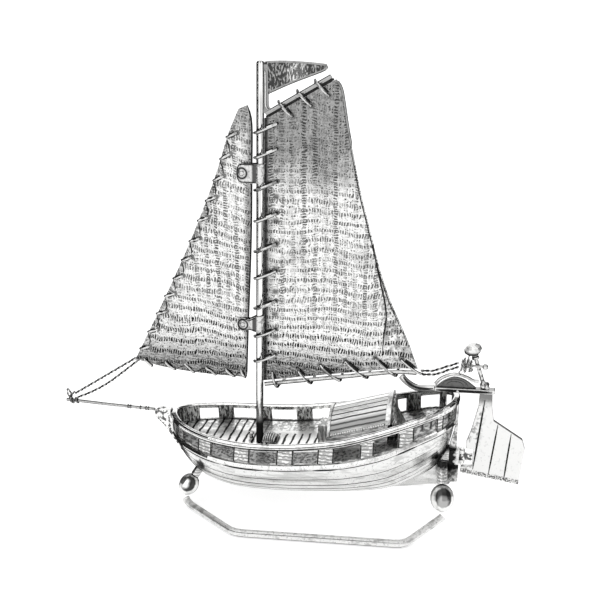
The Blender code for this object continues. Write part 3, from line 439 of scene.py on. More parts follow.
def make_bead_look(name, centre, radius, shift, highlight_strength):
    """A polished bead with a painted reflection: a dark disc on its outer face with a painted highlight in it, and
    painted shade round its rim as seen from the sides.
    """
    s = Shader(name)
    spot = [s.mul(s.sub(value, middle), 1 / radius) for value, middle in zip((s.x, s.math("ABSOLUTE", s.y), s.z), centre)]

    def facing(axis):
        unit = Vector(axis).normalized()
        terms = [s.mul(value, part) for value, part in zip(spot, unit)]
        return s.add(s.add(terms[0], terms[1]), terms[2])

    wobble = s.mul(s.sub(s.noise(1.2, 2.0), 0.5), 0.12)
    # Painted reflection: a dark disc, a lighter spot in it as a painted highlight, and a darker rim.
    reflection_disc = s.step(s.add(facing((0.2, 0.86, 0.52)), wobble), 0.58, 0.7)
    light = s.step(s.add(facing((0.2 + shift[0], 0.86, 0.56 + shift[1])), wobble), 0.74, 0.88)
    rim = s.step(s.add(facing((0.2, 0.92, 0.34)), s.mul(wobble, 0.6)), 0.34, 0.16)
    dark = s.most(s.mul(rim, 0.85), s.mul(reflection_disc, s.sub(0.96, s.mul(light, highlight_strength))))
    return s.finish(s.mix(s.most(dark, s.tarnish_and_shade(1.0, 0.3, 0.8)), tone(0.84), tone(0.025)), 0.34)


def make_pennant_look():
    """The pennant: black with fine upright cuts, worn bright in one patch."""
    s = Shader("pennant_silver")
    where = s.vector(s.x, s.mul(s.y, 0.3), s.mul(s.z, 0.35))
    cuts = s.step(s.noise(0.34, 3.0, where=where), 0.42, 0.56)
    worn = s.step(away_from(s, 3.6, 113.0), 3.2, 1.2)
    s.bump(cuts, 0.15)
    dark = s.add(s.mul(cuts, s.add(0.42, s.mul(worn, 0.4))), s.sub(0.54, s.mul(worn, 0.54)))
    return s.finish(s.mix(dark, tone(0.74), BLACK), 0.4)


def make_post_look():
    """The post behind the tiller: a dull white knob over a black neck and a stained stem."""
    s = Shader("post_silver")
    neck = s.mul(s.step(s.z, 46.2, 46.8), s.step(s.z, 48.2, 47.5))
    stem = s.mul(s.step(s.z, 46.8, 46.2), s.step(s.noise(0.8, 3.0), 0.44, 0.6))
    ring_line = s.mul(s.step(s.z, 49.6, 49.8), s.step(s.z, 50.2, 50.0))
    dark = s.most(s.mul(neck, 0.9), s.mul(stem, 0.85), s.mul(ring_line, 0.6), s.tarnish_and_shade(1.2, 0.3, 0.8))
    return s.finish(s.mix(dark, tone(0.8), BLACK), 0.5)


def set_look(material, *names):
    for name in names:
        data = NODES[name].data
        data.materials.clear()
        data.materials.append(material)
        for face in data.polygons:
            face.material_index = 0


def smooth(obj, degrees=40):
    """Shades round forms smoothly and keeps the sharp edges."""
    obj.data.shade_smooth()
    obj.data.set_sharp_from_angle(angle=math.radians(degrees))


def dress_nodes():
    bright = polished("polished_silver")
    for name in NODES:
        smooth(NODES[name])
        set_look(bright, name)
    set_look(make_hull_look(), "hull_body", "deadwood", "sternpost")
    set_look(make_engraved(), "bulwark")
    set_look(make_cast_look(), "stem", "rudder_lug")
    set_look(make_gudgeon_look(), "gudgeon")
    set_look(make_leg_look(), *[name for name in NODES if name.startswith("stand_") and "_leg_" in name])
    front_bead = make_bead_look("front_bead_silver", (-24.3, 8.0, 5.6), 2.8, (-0.34, 0.0), 0.95)
    rear_bead = make_bead_look("rear_bead_silver", (42.7, 8.0, 10.5), 3.2, (-0.05, -0.36), 0.42)
    set_look(front_bead, "stand_front_bead_port", "stand_front_bead_starboard")
    set_look(rear_bead, "stand_rear_bead_port", "stand_rear_bead_starboard")
    set_look(polished("runner_silver", 0.55, 1.2, 0.05, base=0.8), "stand_runner_port", "stand_runner_starboard")
    set_look(make_post_look(), "sheet_post")
    set_look(make_clip_look(), "jib_clip_upper", "jib_clip_lower")
    set_look(make_scratched("scratched_silver", 1.2, 0.9), "cabin_rear_wall", "cabin_front_wall")
    set_look(polished("web_silver", 0.4, 1.2, 0.2, 0.3, 0.9, 0.13), "tiller_web")
    set_look(make_pennant_look(), "pennant")
    set_look(make_scratched("worn_silver", 0.3, 0.4), "cabin_side_port", "cabin_side_starboard")
    set_look(make_scratched("step_silver", 1.57, 0.6), "companion_step")
    set_look(polished("hoop_silver", 0.4, 1.3, 0.3, 0.3, 0.95, 0.8), "cabin_front_hoop", "cabin_rear_hoop")
    drawn = polished("lacing_silver", 0.24, 0.8, 0.05, 0.3, 0.8, 0.6, 0.9)
    set_look(drawn, "luff_lacing", "gaff_lacing", "boom_lacing")
    set_look(polished("boom_silver", 0.24, 1.0, 0.05, 0.3, 0.9, 0.6, 0.9), "boom")
    set_look(polished("gaff_silver", 0.24, 1.0, 0.1, 0.3, 0.9, 0.36, 0.95), "gaff")
    set_look(polished("dull_spar", 0.24, 1.4, 0.15, 0.4, 1.0, 0.44, 0.6), "bowsprit")
    tiller = polished("tiller_silver", 0.28, 1.2, 0.1, 0.4, 0.95, 0.7, 0.45)
    set_look(tiller, "tiller_bar", "cross_pin", "tiller_handle", "tiller_hoop")
    set_look(make_roof(), "cabin_roof")
    set_look(make_blade_look(), "rudder_blade")
    set_look(make_mast_look(), "mast")
    set_look(make_deck(), "deck")
    set_look(make_mainsail_look(), "mainsail")
    set_look(make_jib_look(), "jib")



def piece(name, points, faces, look, body, degrees=50):
    """A mesh from points in millimetres that rides on a body."""
    mesh = bpy.data.meshes.new(name)
    mesh.from_pydata([tuple(float(c) * MM for c in p) for p in points], [], faces)
    mesh.materials.append(look)
    obj = bpy.data.objects.new(name, mesh)
    bpy.context.scene.collection.objects.link(obj)
    shape = bmesh.new()
    shape.from_mesh(mesh)
    bmesh.ops.recalc_face_normals(shape, faces=shape.faces)
    shape.to_mesh(mesh)
    shape.free()
    smooth(obj, degrees)
    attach(obj, body)
    return obj


class Skin:
    """Finds points on the surface of a node, in millimetres."""

    def __init__(self, *nodes):
        points, faces = [], []
        for node in nodes:
            data = NODES[node].data
            start = len(points)
            points += [v.co / MM for v in data.vertices]
            faces += [tuple(start + v for v in face.vertices) for face in data.polygons]
        self.tree = BVHTree.FromPolygons(points, faces)

    def hit(self, start, direction):
        direction = Vector(direction).normalized()
        place, normal, _, _ = self.tree.ray_cast(Vector(start), direction)
        if place is None:
            return None
        return place, (normal if normal.dot(direction) < 0 else -normal)

    def near(self, point):
        place, normal, _, _ = self.tree.find_nearest(Vector(point))
        return place, (normal if normal.dot(Vector(point) - place) >= 0 else -normal)


class Marks:
    """Scribed lines and painted shadows: thin ribbons on a surface, gathered into one piece."""

    LIFT = 0.015

    def __init__(self, name, look, body):
        self.name, self.look, self.body = name, look, body
        self.points, self.faces = [], []

    def run(self, found, width, taper=True):
        """A line through surface points and normals; the places not found break it."""
        part = []
        for spot in [*found, None]:
            if spot is not None:
                part.append(spot)
                continue
            if len(part) > 1:
                self.add(part, width, taper)
            part = []

    def add(self, spots, width, taper):
        start, count = len(self.points), len(spots)
        for i, (place, normal) in enumerate(spots):
            along = spots[min(i + 1, count - 1)][0] - spots[max(i - 1, 0)][0]
            side = along.cross(normal).normalized()
            share = min(1.0, 0.35 + 3.0 * min(i, count - 1 - i) / count) if taper else 1.0
            half = side * width / 2 * share
            lifted = place + normal * self.LIFT
            self.points += [lifted - half, lifted + half]
        for i in range(count - 1):
            a = start + 2 * i
            self.faces.append((a, a + 1, a + 3, a + 2))

    def build(self):
        mesh = bpy.data.meshes.new(self.name)
        mesh.from_pydata([tuple(p * MM) for p in self.points], [], self.faces)
        mesh.materials.append(self.look)
        obj = bpy.data.objects.new(self.name, mesh)
        bpy.context.scene.collection.objects.link(obj)
        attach(obj, self.body)


def rounded(route, step):
    """Points at about equal steps on a smooth curve through the route."""
    data = np.array(route, float)
    padded = np.vstack([2 * data[0] - data[1], data, 2 * data[-1] - data[-2]])
    fine = []
    for i in range(len(data) - 1):
        before, start, end, after = padded[i : i + 4]
        for t in np.linspace(0, 1, 12, endpoint=False):
            fine.append(
                0.5
                * (
                    2 * start
                    + (end - before) * t
                    + (2 * before - 5 * start + 4 * end - after) * t**2
                    + (3 * start - before - 3 * end + after) * t**3
                )
            )
    fine = np.array([*fine, data[-1]])
    travelled = np.concatenate([[0], np.cumsum(np.linalg.norm(np.diff(fine, axis=0), axis=1))])
    wanted = np.linspace(0, travelled[-1], max(3, int(travelled[-1] / step)))
    return [Vector([np.interp(w, travelled, column) for column in fine.T]) for w in wanted]


def frames(points):
    """Side and up vectors along a route, carried from point to point without twist."""
    out = []
    up = None
    for i, point in enumerate(points):
        along = (points[min(i + 1, len(points) - 1)] - points[max(i - 1, 0)]).normalized()
        up = along.orthogonal() if up is None else up - along * up.dot(along)
        up.normalize()
        out.append((along.cross(up), up.copy()))
    return out


def add_tube(points, faces, route, radius, sides=8):
    """Adds a round wire with rounded ends to the lists."""
    start = len(points)
    for i, (centre, (side, up)) in enumerate(zip(route, frames(route))):
        last = i in (0, len(route) - 1)
        r = radius * (0.55 if last else 1.0)
        for k in range(sides):
            angle = 2 * math.pi * k / sides
            points.append(centre + (side * math.cos(angle) + up * math.sin(angle)) * r)
    for i in range(len(route) - 1):
        a = start + i * sides
        for k in range(sides):
            n = (k + 1) % sides
            faces.append((a + k, a + n, a + sides + n, a + sides + k))
    faces.append(tuple(start + k for k in range(sides)))
    faces.append(tuple(start + (len(route) - 1) * sides + k for k in range(sides)))


def add_rope(points, faces, route, radius, pitch, chosen=(0, 1), strands=2):
    """Adds the chosen ones of the wires that are twisted round one another along a route."""
    route = rounded(route, 0.16)
    sides = frames(route)
    for strand in chosen:
        travelled, wound = 0.0, []
        for i, (centre, (side, up)) in enumerate(zip(route, sides)):
            travelled += (centre - route[i - 1]).length if i else 0.0
            angle = 2 * math.pi * (travelled / pitch + strand / strands)
            wound.append(centre + (side * math.cos(angle) + up * math.sin(angle)) * radius * 0.5)
        add_tube(points, faces, wound, radius * 0.53, 6)


def rope(name, routes, radius, pitch, look, body, chosen=(0, 1)):
    points, faces = [], []
    for route in routes:
        add_rope(points, faces, route, radius, pitch, chosen)
    return piece(name, points, faces, look, body, 80)


def add_dome(points, faces, centre, normal, radius, height, sides=16):
    """Adds a rivet head with a small foot ring."""
    normal = Vector(normal).normalized()
    side = normal.orthogonal().normalized()
    up = normal.cross(side)
    start = len(points)
    profile = ((1.0, -0.1), (1.0, 0.25), (0.82, 0.62), (0.5, 0.9), (0.2, 1.0))
    for share, lift in profile:
        for k in range(sides):
            angle = 2 * math.pi * k / sides
            out = (side * math.cos(angle) + up * math.sin(angle)) * radius * share
            points.append(Vector(centre) + out + normal * height * lift)
    for i in range(len(profile) - 1):
        a = start + i * sides
        for k in range(sides):
            n = (k + 1) % sides
            faces.append((a + k, a + n, a + sides + n, a + sides + k))
    faces.append(tuple(start + k for k in range(sides)))
    faces.append(tuple(start + (len(profile) - 1) * sides + k for k in range(sides)))


def ring(centre, normal, radii, turn=0.0, count=14, rise=0.0):
    """A loop of points round a centre; radii are across and along the second axis."""
    normal = Vector(normal).normalized()
    side = normal.cross(Vector((0, 1, 0))).normalized() if abs(normal.y) < 0.9 else Vector((1, 0, 0))
    up = normal.cross(side)
    out = []
    for k in range(count + 1):
        angle = 2 * math.pi * k / count + turn
        offset = side * radii[0] * math.cos(angle) + up * radii[1] * math.sin(angle)
        out.append(tuple(Vector(centre) + offset + normal * rise * (k / count - 0.5)))
    return out


ROPE_RADIUS = 0.32
ROPE_PITCH = 2.5
BOWSPRIT_TURNS = (-43.8, -43.1, -40.2, -38.6, -37.9)

# Twisted wires, each in place of a plain one: body, then its route in millimetres.
TWISTED = {
    "tack_rope_upper": (BOAT, ((-40.9, 0, 37.3), (-50.0, 0, 31.2), (-59.3, 0, 25.0))),
    "tack_rope_lower": (BOAT, ((-40.5, 0, 36.4), (-48.6, 0, 29.7), (-54.0, 0, 26.2), (-58.6, 0, 23.9))),
    "sheet_rope_upper": (SAILS, ((35.2, 0, 41.2), (38.3, -0.2, 41.6), (41.1, -0.4, 42.9), (44.5, -0.55, 44.45))),
    "sheet_rope_lower": (SAILS, ((35.6, 0, 40.2), (39.0, -0.3, 40.75), (42.0, -0.6, 42.3), (44.5, -0.85, 43.5))),
}


def make_ropes(wire, dark, knot_look):
    for node, (body, route) in TWISTED.items():
        made = rope(f"{node}_twisted", [route], ROPE_RADIUS, ROPE_PITCH, wire, body, (0,))
        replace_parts(made, node)
        rope(f"{node}_groove", [route], ROPE_RADIUS, ROPE_PITCH, dark, body, (1,))
    ends = ((-60.9, 24.6, 0.5), (-60.1, 24.9, -0.6), (-60.6, 23.1, 0.9), (-59.7, 22.9, -0.4), (-58.9, 23.0, 0.2))
    loops = [ring((x, 0, z), (1, 0, lean), (0.78, 0.66), 0.9 * k, rise=0.5) for k, (x, z, lean) in enumerate(ends)]
    loops.append([(-60.6, -0.3, 25.2), (-61.0, -0.2, 26.1), (-61.6, 0.1, 26.0), (-61.75, 0.2, 25.3)])
    loops.append(ring((-60.3, 0, 22.75), (1, 0.2, 0.3), (0.62, 0.62), rise=0.3))
    rope("bowsprit_seizing", loops, 0.24, 1.6, knot_look, BOAT)
    marks = [ring((x, 0, 22.75), (1, 0, 0.15), (0.5, 0.5)) for x in BOWSPRIT_TURNS]
    rope("bowsprit_turns", marks, 0.14, 1.6, knot_look, BOAT)
    knot = [ring((-40.4, 0, 37.2), (0.5, 0, 0.85), (0.75, 0.55)), ring((-40.0, 0, 36.9), (0.8, 0.2, -0.5), (0.7, 0.55))]
    rope("jib_tack_knot", knot, 0.18, 1.6, wire, BOAT)
    turns = []
    for k, (x, high, lean) in enumerate(((45.35, 1.35, -0.15), (45.9, 1.75, 0.12), (46.45, 1.45, -0.1), (47.0, 1.6, 0.2), (47.5, 1.2, 0.0))):
        turns.append(ring((x, -0.9, 44.15), (1, 0, lean), (high, 1.1), 0.9 * k, rise=0.5))
    coil = rope("sheet_coil_wound", turns, 0.25, 1.7, wire, RUDDER)
    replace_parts(coil, "sheet_coil")
    neck = [ring((48.4, 0, 46.0), (-0.33, 0, 1), (0.72, 0.72), rise=0.5), ring((48.2, 0, 46.6), (-0.5, 0.2, 1), (0.75, 0.75), rise=0.4)]
    neck.append([(46.6, -1.4, 45.6), (46.9, -1.1, 46.9), (47.5, -0.7, 47.0), (47.7, -0.5, 46.3)])
    neck.append([(45.3, -1.2, 43.0), (44.7, -1.3, 42.3), (44.9, -1.2, 41.5), (45.3, -1.1, 41.9)])
    rope("post_seizing", neck, 0.2, 1.6, wire, RUDDER)


def make_rivets(bright, dark):
    points, faces = [], []
    for side in (-1, 1):
        for x, z, radius in ((-9.8, 89.1, 1.05), (-10.35, 50.0, 1.0)):
            add_dome(points, faces, (x, side * 0.62, z), (0, side, 0), radius, 0.45)
        for z in (17.5, 19.4):
            add_dome(points, faces, (44.9, side * 1.5, z), (0, side, 0), 0.42, 0.22)
    piece("rivets", points, faces, bright, BOAT)
    points, faces = [], []
    for side in (-1, 1):
        for x, z in ((-9.8, 89.1), (-10.35, 50.0)):
            route = [Vector(p) for p in ring((x, side * 0.96, z), (0, side, 0), (0.52, 0.56))]
            add_tube(points, faces, route, 0.1, 6)
    piece("rivet_rings", points, faces, dark, BOAT)
    points, faces = [], []
    for side in (-1, 1):
        add_dome(points, faces, (51.6, side * 0.9, 38.7), (0.2, side, 0.1), 0.6, 0.5)
        add_dome(points, faces, (44.6, side * 0.95, 36.9), (0, side, 0), 0.35, 0.2)
    piece("tiller_rivets", points, faces, bright, RUDDER)


def make_eaves(bright):
    """A row of small beads along each eave."""
    points, faces = [], []
    for side in (-1, 1):
        for k in range(23):
            x = 13.8 + 0.6 * k
            z = 23.1 + (x - 12.7) * 0.3387 - 0.05
            add_dome(points, faces, (x, side * 5.72, z + 0.1), (0, side, 0.3), 0.33, 0.4, 10)
    piece("eave_beads", points, faces, bright, BOAT)


def make_deck_coil(bright):
    """The ribbed drum abaft the mast and the small bollard ahead of it."""
    deck = Skin("deck")
    points, faces = [], []
    for k in range(7):
        x = -5.4 + 0.56 * k
        floor = deck.hit((x, 0.8, 60), (0, 0, -1))[0].z
        high = 1.15 - 0.05 * (k - 2) ** 2
        arc = [(x, 0.8 - 2.3 * math.cos(a), floor + 0.1 + high * 1.5 * math.sin(a)) for a in np.linspace(0.12, math.pi - 0.12, 12)]
        add_tube(points, faces, [Vector(p) for p in arc], 0.3, 6)
    piece("deck_drum", points, faces, bright, BOAT)
    floor = deck.hit((-9.4, 1.6, 60), (0, 0, -1))[0].z
    points, faces = [], []
    profile = ((0.5, 0.0), (0.5, 0.9), (0.85, 1.1), (0.85, 1.4), (0.4, 1.7))
    for share, lift in profile:
        for k in range(12):
            angle = math.pi * k / 6
            points.append((-9.4 + share * math.cos(angle), 1.6 + share * math.sin(angle), floor + lift))
    for i in range(len(profile) - 1):
        for k in range(12):
            n = (k + 1) % 12
            faces.append((12 * i + k, 12 * i + n, 12 * i + 12 + n, 12 * i + 12 + k))
    faces += [tuple(range(12)), tuple(range(48, 60))]
    piece("deck_bollard", points, faces, bright, BOAT)


def hull_lines(line):
    """Strakes scribed along the lower hull, and the nicked line under each wale."""
    skin, wales = Skin("hull_body"), Skin("wale_port", "wale_starboard")
    strakes, nicks = Marks("hull_strakes", line, BOAT), Marks("wale_nicks", line, BOAT)
    xs = np.linspace(-27.0, 41.5, 90)
    for side in (-1, 1):
        for share, width in ((0.7, 0.18), (0.52, 0.26), (0.38, 0.22), (0.26, 0.2), (0.14, 0.18)):
            found = []
            for x in xs:
                low = skin.hit((x, 0, 0), (0, 0, 1))
                top = skin.hit((x, 0, 60), (0, 0, -1))
                if low is None or top is None:
                    found.append(None)
                    continue
                z = low[0].z + (top[0].z - low[0].z) * share
                found.append(skin.hit((x, side * 40, z), (0, -side, 0)))
            strakes.run(found, width)
        for first, last, width in ((-26, -14, 0.4), (-13.2, -2, 0.5), (-2.5, 10.5, 0.26), (10.5, 17, 0.46), (16, 31, 0.24), (31, 36, 0.5), (36, 43, 0.25)):
            found = []
            for x in np.linspace(first, last, 16):
                top = skin.hit((x, 0, 60), (0, 0, -1))
                found.append(wales.hit((x, side * 40, top[0].z - 0.22), (0, -side, 0)) if top else None)
            nicks.run(found, width)
    strakes.build()
    nicks.build()


def rail_lines(line):
    rail, hull = Skin("rail"), Skin("hull_body")
    marks = Marks("rail_lines", line, BOAT)
    for side in (-1, 1):
        lower, middle, upper = [], [], []
        for x in np.linspace(-28.5, 43.0, 80):
            top = hull.hit((x, 0, 60), (0, 0, -1))
            if top is None:
                continue
            outer = hull.hit((x, side * 40, top[0].z - 0.3), (0, -side, 0))
            half = abs(outer[0].y)
            crown = rail.hit((x, side * (half - 1.2 * (half / 12.9) ** 2 - 0.1), 60), (0, 0, -1))
            if crown is None or crown[0].z < top[0].z + 3:
                for found in (lower, middle, upper):
                    found.append(None)
                continue
            lower.append(rail.hit((x, side * 40, crown[0].z - 1.15), (0, -side, 0)))
            middle.append(rail.hit((x, side * 40, crown[0].z - 0.55), (0, -side, 0)))
            upper.append(crown)
        marks.run(lower, 0.3)
        marks.run(middle, 0.18)
        marks.run(upper, 0.28)
    marks.build()


def rudder_lines(line):
    """Three grooves down the blade, the hatching along its bottom and the tiller's groove."""
    blade = Skin("rudder_blade")
    marks = Marks("rudder_lines", line, RUDDER)
    for side in (-1, 1):
        for x0, z0, x1, z1, width in ((51.4, 35.1, 49.5, 13.6, 0.46), (55.0, 28.6, 53.5, 13.0, 0.4), (58.4, 26.4, 57.5, 12.8, 0.4)):
            found = [blade.hit((x0 + (x1 - x0) * t, side * 5, z0 + (z1 - z0) * t), (0, -side, 0)) for t in np.linspace(0, 1, 14)]
            marks.run(found, width)
        for k in range(30):
            x = 47.0 + 0.46 * k
            z = 14.05 - (x - 46.6) * 0.116
            found = [blade.hit((x + 0.1 * t, side * 5, z + 0.25 + (0.55 + 0.3 * (k * 7 % 5) / 5) * t), (0, -side, 0)) for t in (0, 0.5, 1)]
            marks.run(found, 0.13)
    web = Skin("tiller_web")
    for side in (-1, 1):
        for grow in (0.55, 0.8):
            found = []
            for t in np.linspace(0.1, math.pi - 0.1, 16):
                x, z = 43.9 - 3.9 * grow * math.cos(t), 38.0 + 2.3 * grow * math.sin(t)
                found.append(web.hit((x, side * 5, z), (0, -side, 0)))
            marks.run(found, 0.14)
    handle = Skin("tiller_handle", "tiller_bar")
    for side in (-1, 1):
        route = ((31.0, 39.2), (32.2, 37.9), (34.4, 36.75), (36.9, 36.65), (38.6, 36.9))
        found = [handle.hit((x, side * 5, z + 0.05), (0, -side, 0)) for x, _, z in rounded([(x, 0, z) for x, z in route], 0.4)]
        marks.run(found, 0.6)
        for low, width in ((False, 0.5), (True, 0.42)):
            found = []
            for x in np.linspace(39.3, 53.0, 30):
                edge = handle.hit((x, 0, 20 if low else 60), (0, 0, 1 if low else -1))
                height = edge[0].z + (0.4 if low else -0.45) if edge else 0
                found.append(handle.hit((x, side * 5, height), (0, -side, 0)))
            marks.run(found, width)
    marks.build()


def stand_lines(line):
    marks = Marks("runner_lines", line, BOAT)
    for hand, side in (("port", -1), ("starboard", 1)):
        skin = Skin(f"stand_runner_{hand}")
        found = [skin.hit((x, side * 40, 1.5), (0, -side, 0)) for x in np.linspace(-20.5, 34.0, 60)]
        marks.run(found, 0.12)
    marks.build()


def sail_lines(line):
    """Painted shade along the crease of the mainsail's lower leech and where its lacing enters, and a dark border down
    its leech.
    """
    sail = Skin("mainsail")
    marks = Marks("mainsail_lines", line, SAILS)
    # Painted shade along the crease where the lower leech curls.
    crease = ((22.0, 74.4, 0.15), (23.1, 68.4, 0.4), (24.5, 62.6, 0.5), (25.6, 58.0, 0.35), (26.1, 54.1, 0.45), (25.7, 49.5, 0.3), (25.5, 44.6, 0.25))
    route = rounded([(x, 0, z) for x, z, _ in crease], 0.5)
    border = rounded([(x - 0.32, 0, z) for x, z in MAIN_LEECH_LINE], 0.6)
    for side in (-1, 1):
        for path, width in ((route, 0.42), (border, 0.3)):
            marks.run([sail.hit((x, side * 8, z), (0, -side, 0)) for x, _, z in path], width)
        # Painted shade where the lacing enters the sail, by the mast and along the boom.
        for z in LUFF_TURNS:
            end = z * 0.0172 - 6.937 + 3.1
            spots = [sail.hit((end + 1.1 * t, side * 8, z + 0.55 + 0.25 * t), (0, -side, 0)) for t in (-0.5, -0.2, 0.2, 0.5)]
            marks.run(spots, 0.9)
        for x, z in BOOM_HOLES:
            marks.run([sail.hit((x + 0.5 * t, side * 8, z - 1.0 * t), (0, -side, 0)) for t in (-0.6, -0.2, 0.3, 0.8)], 0.8)
    marks.build()


def hook(skin, hole, edge, lift=0.42):
    """A closed turn of wire from a hole in a sail round the sail's edge."""
    route = []
    for side in (-1, 1):
        spots = []
        for share, out in ((0.0, 0.1), (0.25, lift), (0.6, lift), (0.88, lift * 0.8)):
            x, z = hole[0] + (edge[0] - hole[0]) * share, hole[1] + (edge[1] - hole[1]) * share
            spots.append((x, skin.near((x, 0, z))[0].y + side * out, z))
        if side < 0:
            route += [*spots, (edge[0], spots[-1][1] + lift * 0.8, edge[1])]
        else:
            route += spots[::-1]
    return rounded(route, 0.3)


def jib_luff_turns():
    """Hole and edge of each turn of wire down the jib's luff, as x, z."""
    fine = rounded([(x, 0, z) for x, z in JIB_LUFF], 0.35)
    last = len(fine) - 1
    turns = []
    for k in range(12):
        at = int((0.075 + 0.0775 * k) * last)
        along = (fine[at + 1] - fine[at - 1]).normalized()
        inward = Vector((along.z, 0, -along.x))
        hole = fine[at] + inward * 2.0 + along * 0.3
        edge = fine[at] - inward * 0.15 - along * 1.9
        turns.append(((hole.x, hole.z), (edge.x, edge.z)))
    return turns


def jib_lacing(wire, dark):
    """Short hooks of wire along the jib's luff and foot, over painted shadows: a dark band under each hook and a dark
    scallop between hooks.
    """
    skin = Skin("jib")
    luff = jib_luff_turns()
    foot = [((x, z), (low_x, low_z + 0.6)) for x, z, low_x, low_z in JIB_FOOT_TURNS]
    for node, turns in (("jib_luff_lacing", luff), ("jib_foot_lacing", foot)):
        points, faces = [], []
        for hole, edge in turns:
            add_tube(points, faces, hook(skin, hole, edge), 0.34, 7)
        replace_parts(piece(f"{node}_hooks", points, faces, wire, BOAT, 80), node)
    # Painted shadows under each hook and in a scallop between hooks.
    marks = Marks("jib_wire_shadows", dark, BOAT)
    for side in (-1, 1):
        for hole, edge in luff + foot:
            x, z = edge[0] - hole[0], edge[1] - hole[1]
            spots = [skin.hit((hole[0] + x * t, side * 9, hole[1] + z * t), (0, -side, 0)) for t in np.linspace(-0.22, 0.95, 12)]
            marks.run(spots, 1.15)
        for turns, bulge in ((luff, (1.5, -0.9)), (foot, (0.4, 1.5))):
            for (_, start), (_, end) in zip(turns, turns[1:]):
                route = []
                for t in np.linspace(0.05, 0.95, 14):
                    swell = math.sin(math.pi * t)
                    x, z = start[0] + (end[0] - start[0]) * t, start[1] + (end[1] - start[1]) * t
                    route.append(skin.hit((x + bulge[0] * swell, side * 9, z + bulge[1] * swell), (0, -side, 0)))
                marks.run(route, 0.34)
    marks.build()


def sail_holes():
    """Every hole in the mainsail, as x, z."""
    holes = [(mast_x(z) + LACE_REACH, z + LACE_RISE) for z in LUFF_TURNS]
    return holes + [low for _, low in gaff_turns()] + list(BOOM_HOLES)


def mast_x(z):
    return z * 0.0172 - 6.937


def gaff_turns():
    """Top and bottom of each turn of wire round the gaff, as x, z."""
    start, end = Vector(GAFF_ENDS[0]), Vector(GAFF_ENDS[1])
    along = (end - start).normalized()
    up = Vector((-along.y, along.x))
    turns = []
    for share in GAFF_SHARES:
        centre = start.lerp(end, share)
        turns.append((tuple(centre + up * 1.15 - along * 0.65), tuple(centre - up * 3.6 + along * 0.65)))
    return turns


def fill_holes(dark):
    """Dark discs that fill each hole round its wire."""
    for name, node, holes, body in (
        ("mainsail_hole_fill", "mainsail", sail_holes(), SAILS),
        ("jib_hole_fill", "jib", [hole for hole, _ in jib_luff_turns()] + [(x, z) for x, z, _, _ in JIB_FOOT_TURNS], BOAT),
    ):
        skin = Skin(node)
        points, faces = [], []
        for x, z in holes:
            y = skin.near((x, 0, z))[0].y
            add_dome(points, faces, (x, y - 0.2, z), (0, -1, 0), 0.66, 0.1, 10)
            add_dome(points, faces, (x, y + 0.2, z), (0, 1, 0), 0.66, 0.1, 10)
        piece(name, points, faces, dark, body)


def wire_shadows(line):
    """Dark borders where the lacing crosses the mainsail and the mast."""
    sail, mast = Skin("mainsail"), Skin("mast")
    marks, rings = Marks("lacing_borders", line, SAILS), Marks("mast_borders", line, BOAT)
    slope = 2 * LACE_RISE / (LACE_REACH + 1.45)
    for side in (-1, 1):
        for z in LUFF_TURNS:
            middle = mast_x(z)
            for skin, kept, first, last in ((sail, marks, 1.3, LACE_REACH + 0.5), (mast, rings, -0.85, 0.85)):
                spots = []
                for x in np.linspace(first, last, 8):
                    height = z - LACE_RISE + (x + 1.45) * slope
                    spots.append(skin.hit((middle + x, side * 8, height), (0, -side, 0)))
                kept.run(spots, 1.2, False)
        lines = [(low, high) for high, low in gaff_turns()]
        lines += [((x, z), (low_x, low_z)) for (x, z), (low_x, low_z) in zip(BOOM_HOLES, BOOM_ENDS)]
        for hole, end in lines:
            x, z = end[0] - hole[0], end[1] - hole[1]
            spots = [sail.hit((hole[0] + x * t, side * 8, hole[1] + z * t), (0, -side, 0)) for t in np.linspace(-0.15, 0.8, 10)]
            marks.run(spots, 1.15, False)
    marks.build()
    rings.build()


def clip_lines(line):
    """The dark border of each strap that holds the jib."""
    marks = Marks("clip_lines", line, BOAT)
    for node, low, outline in CLIPS:
        skin = Skin(node)
        axis = mast_x(low)
        for side in (-1, 1):
            route = rounded([(axis + x, 0, z) for x, z in outline], 0.2)
            marks.run([skin.hit((p.x, side * 8, p.z), (0, -side, 0)) for p in route], 0.26, False)
    marks.build()


def opening_lines(line):
    """Dark outlines beside the openings of the bulwark."""
    hull, wall = Skin("hull_body"), Skin("bulwark")
    marks = Marks("opening_lines", line, BOAT)
    for side in (-1, 1):
        for first, last in OPENINGS:
            for x in (first - 0.2, last + 0.2):
                top = hull.hit((x, 0, 60), (0, 0, -1))
                if top is None:
                    continue
                spots = [wall.hit((x, side * 40, top[0].z + rise), (0, -side, 0)) for rise in np.linspace(0.9, 4.7, 8)]
                marks.run([spot if spot and spot[0].y * side > 0 else None for spot in spots], 0.34, False)
            foot = []
            for x in np.linspace(first, last, 8):
                top = hull.hit((x, 0, 60), (0, 0, -1))
                spot = wall.hit((x, side * 40, top[0].z + 0.95), (0, -side, 0)) if top else None
                foot.append(spot if spot and spot[0].y * side > 0 else None)
            marks.run(foot, 0.3, False)
    marks.build()


# The edges that carry a rolled rim, as x, z in the plane of the sails.
JIB_LEECH_RIM = ((-9.95, 35.1), (-9.35, 47.7), (-8.05, 72.3), (-7.55, 90.0), (-7.35, 101.0), (-8.3, 105.1))
MAIN_LEECH_RIM = ((16.6, 96.5), (15.6, 101.5), (14.75, 106.6), (14.1, 109.6), (13.0, 111.2), (11.8, 110.8))
MAIN_LEECH_LINE = ((31.5, 48.0), (28.8, 54.0), (26.7, 58.7), (24.0, 66.5), (21.6, 75.6), (19.1, 85.5), (16.6, 97.0))
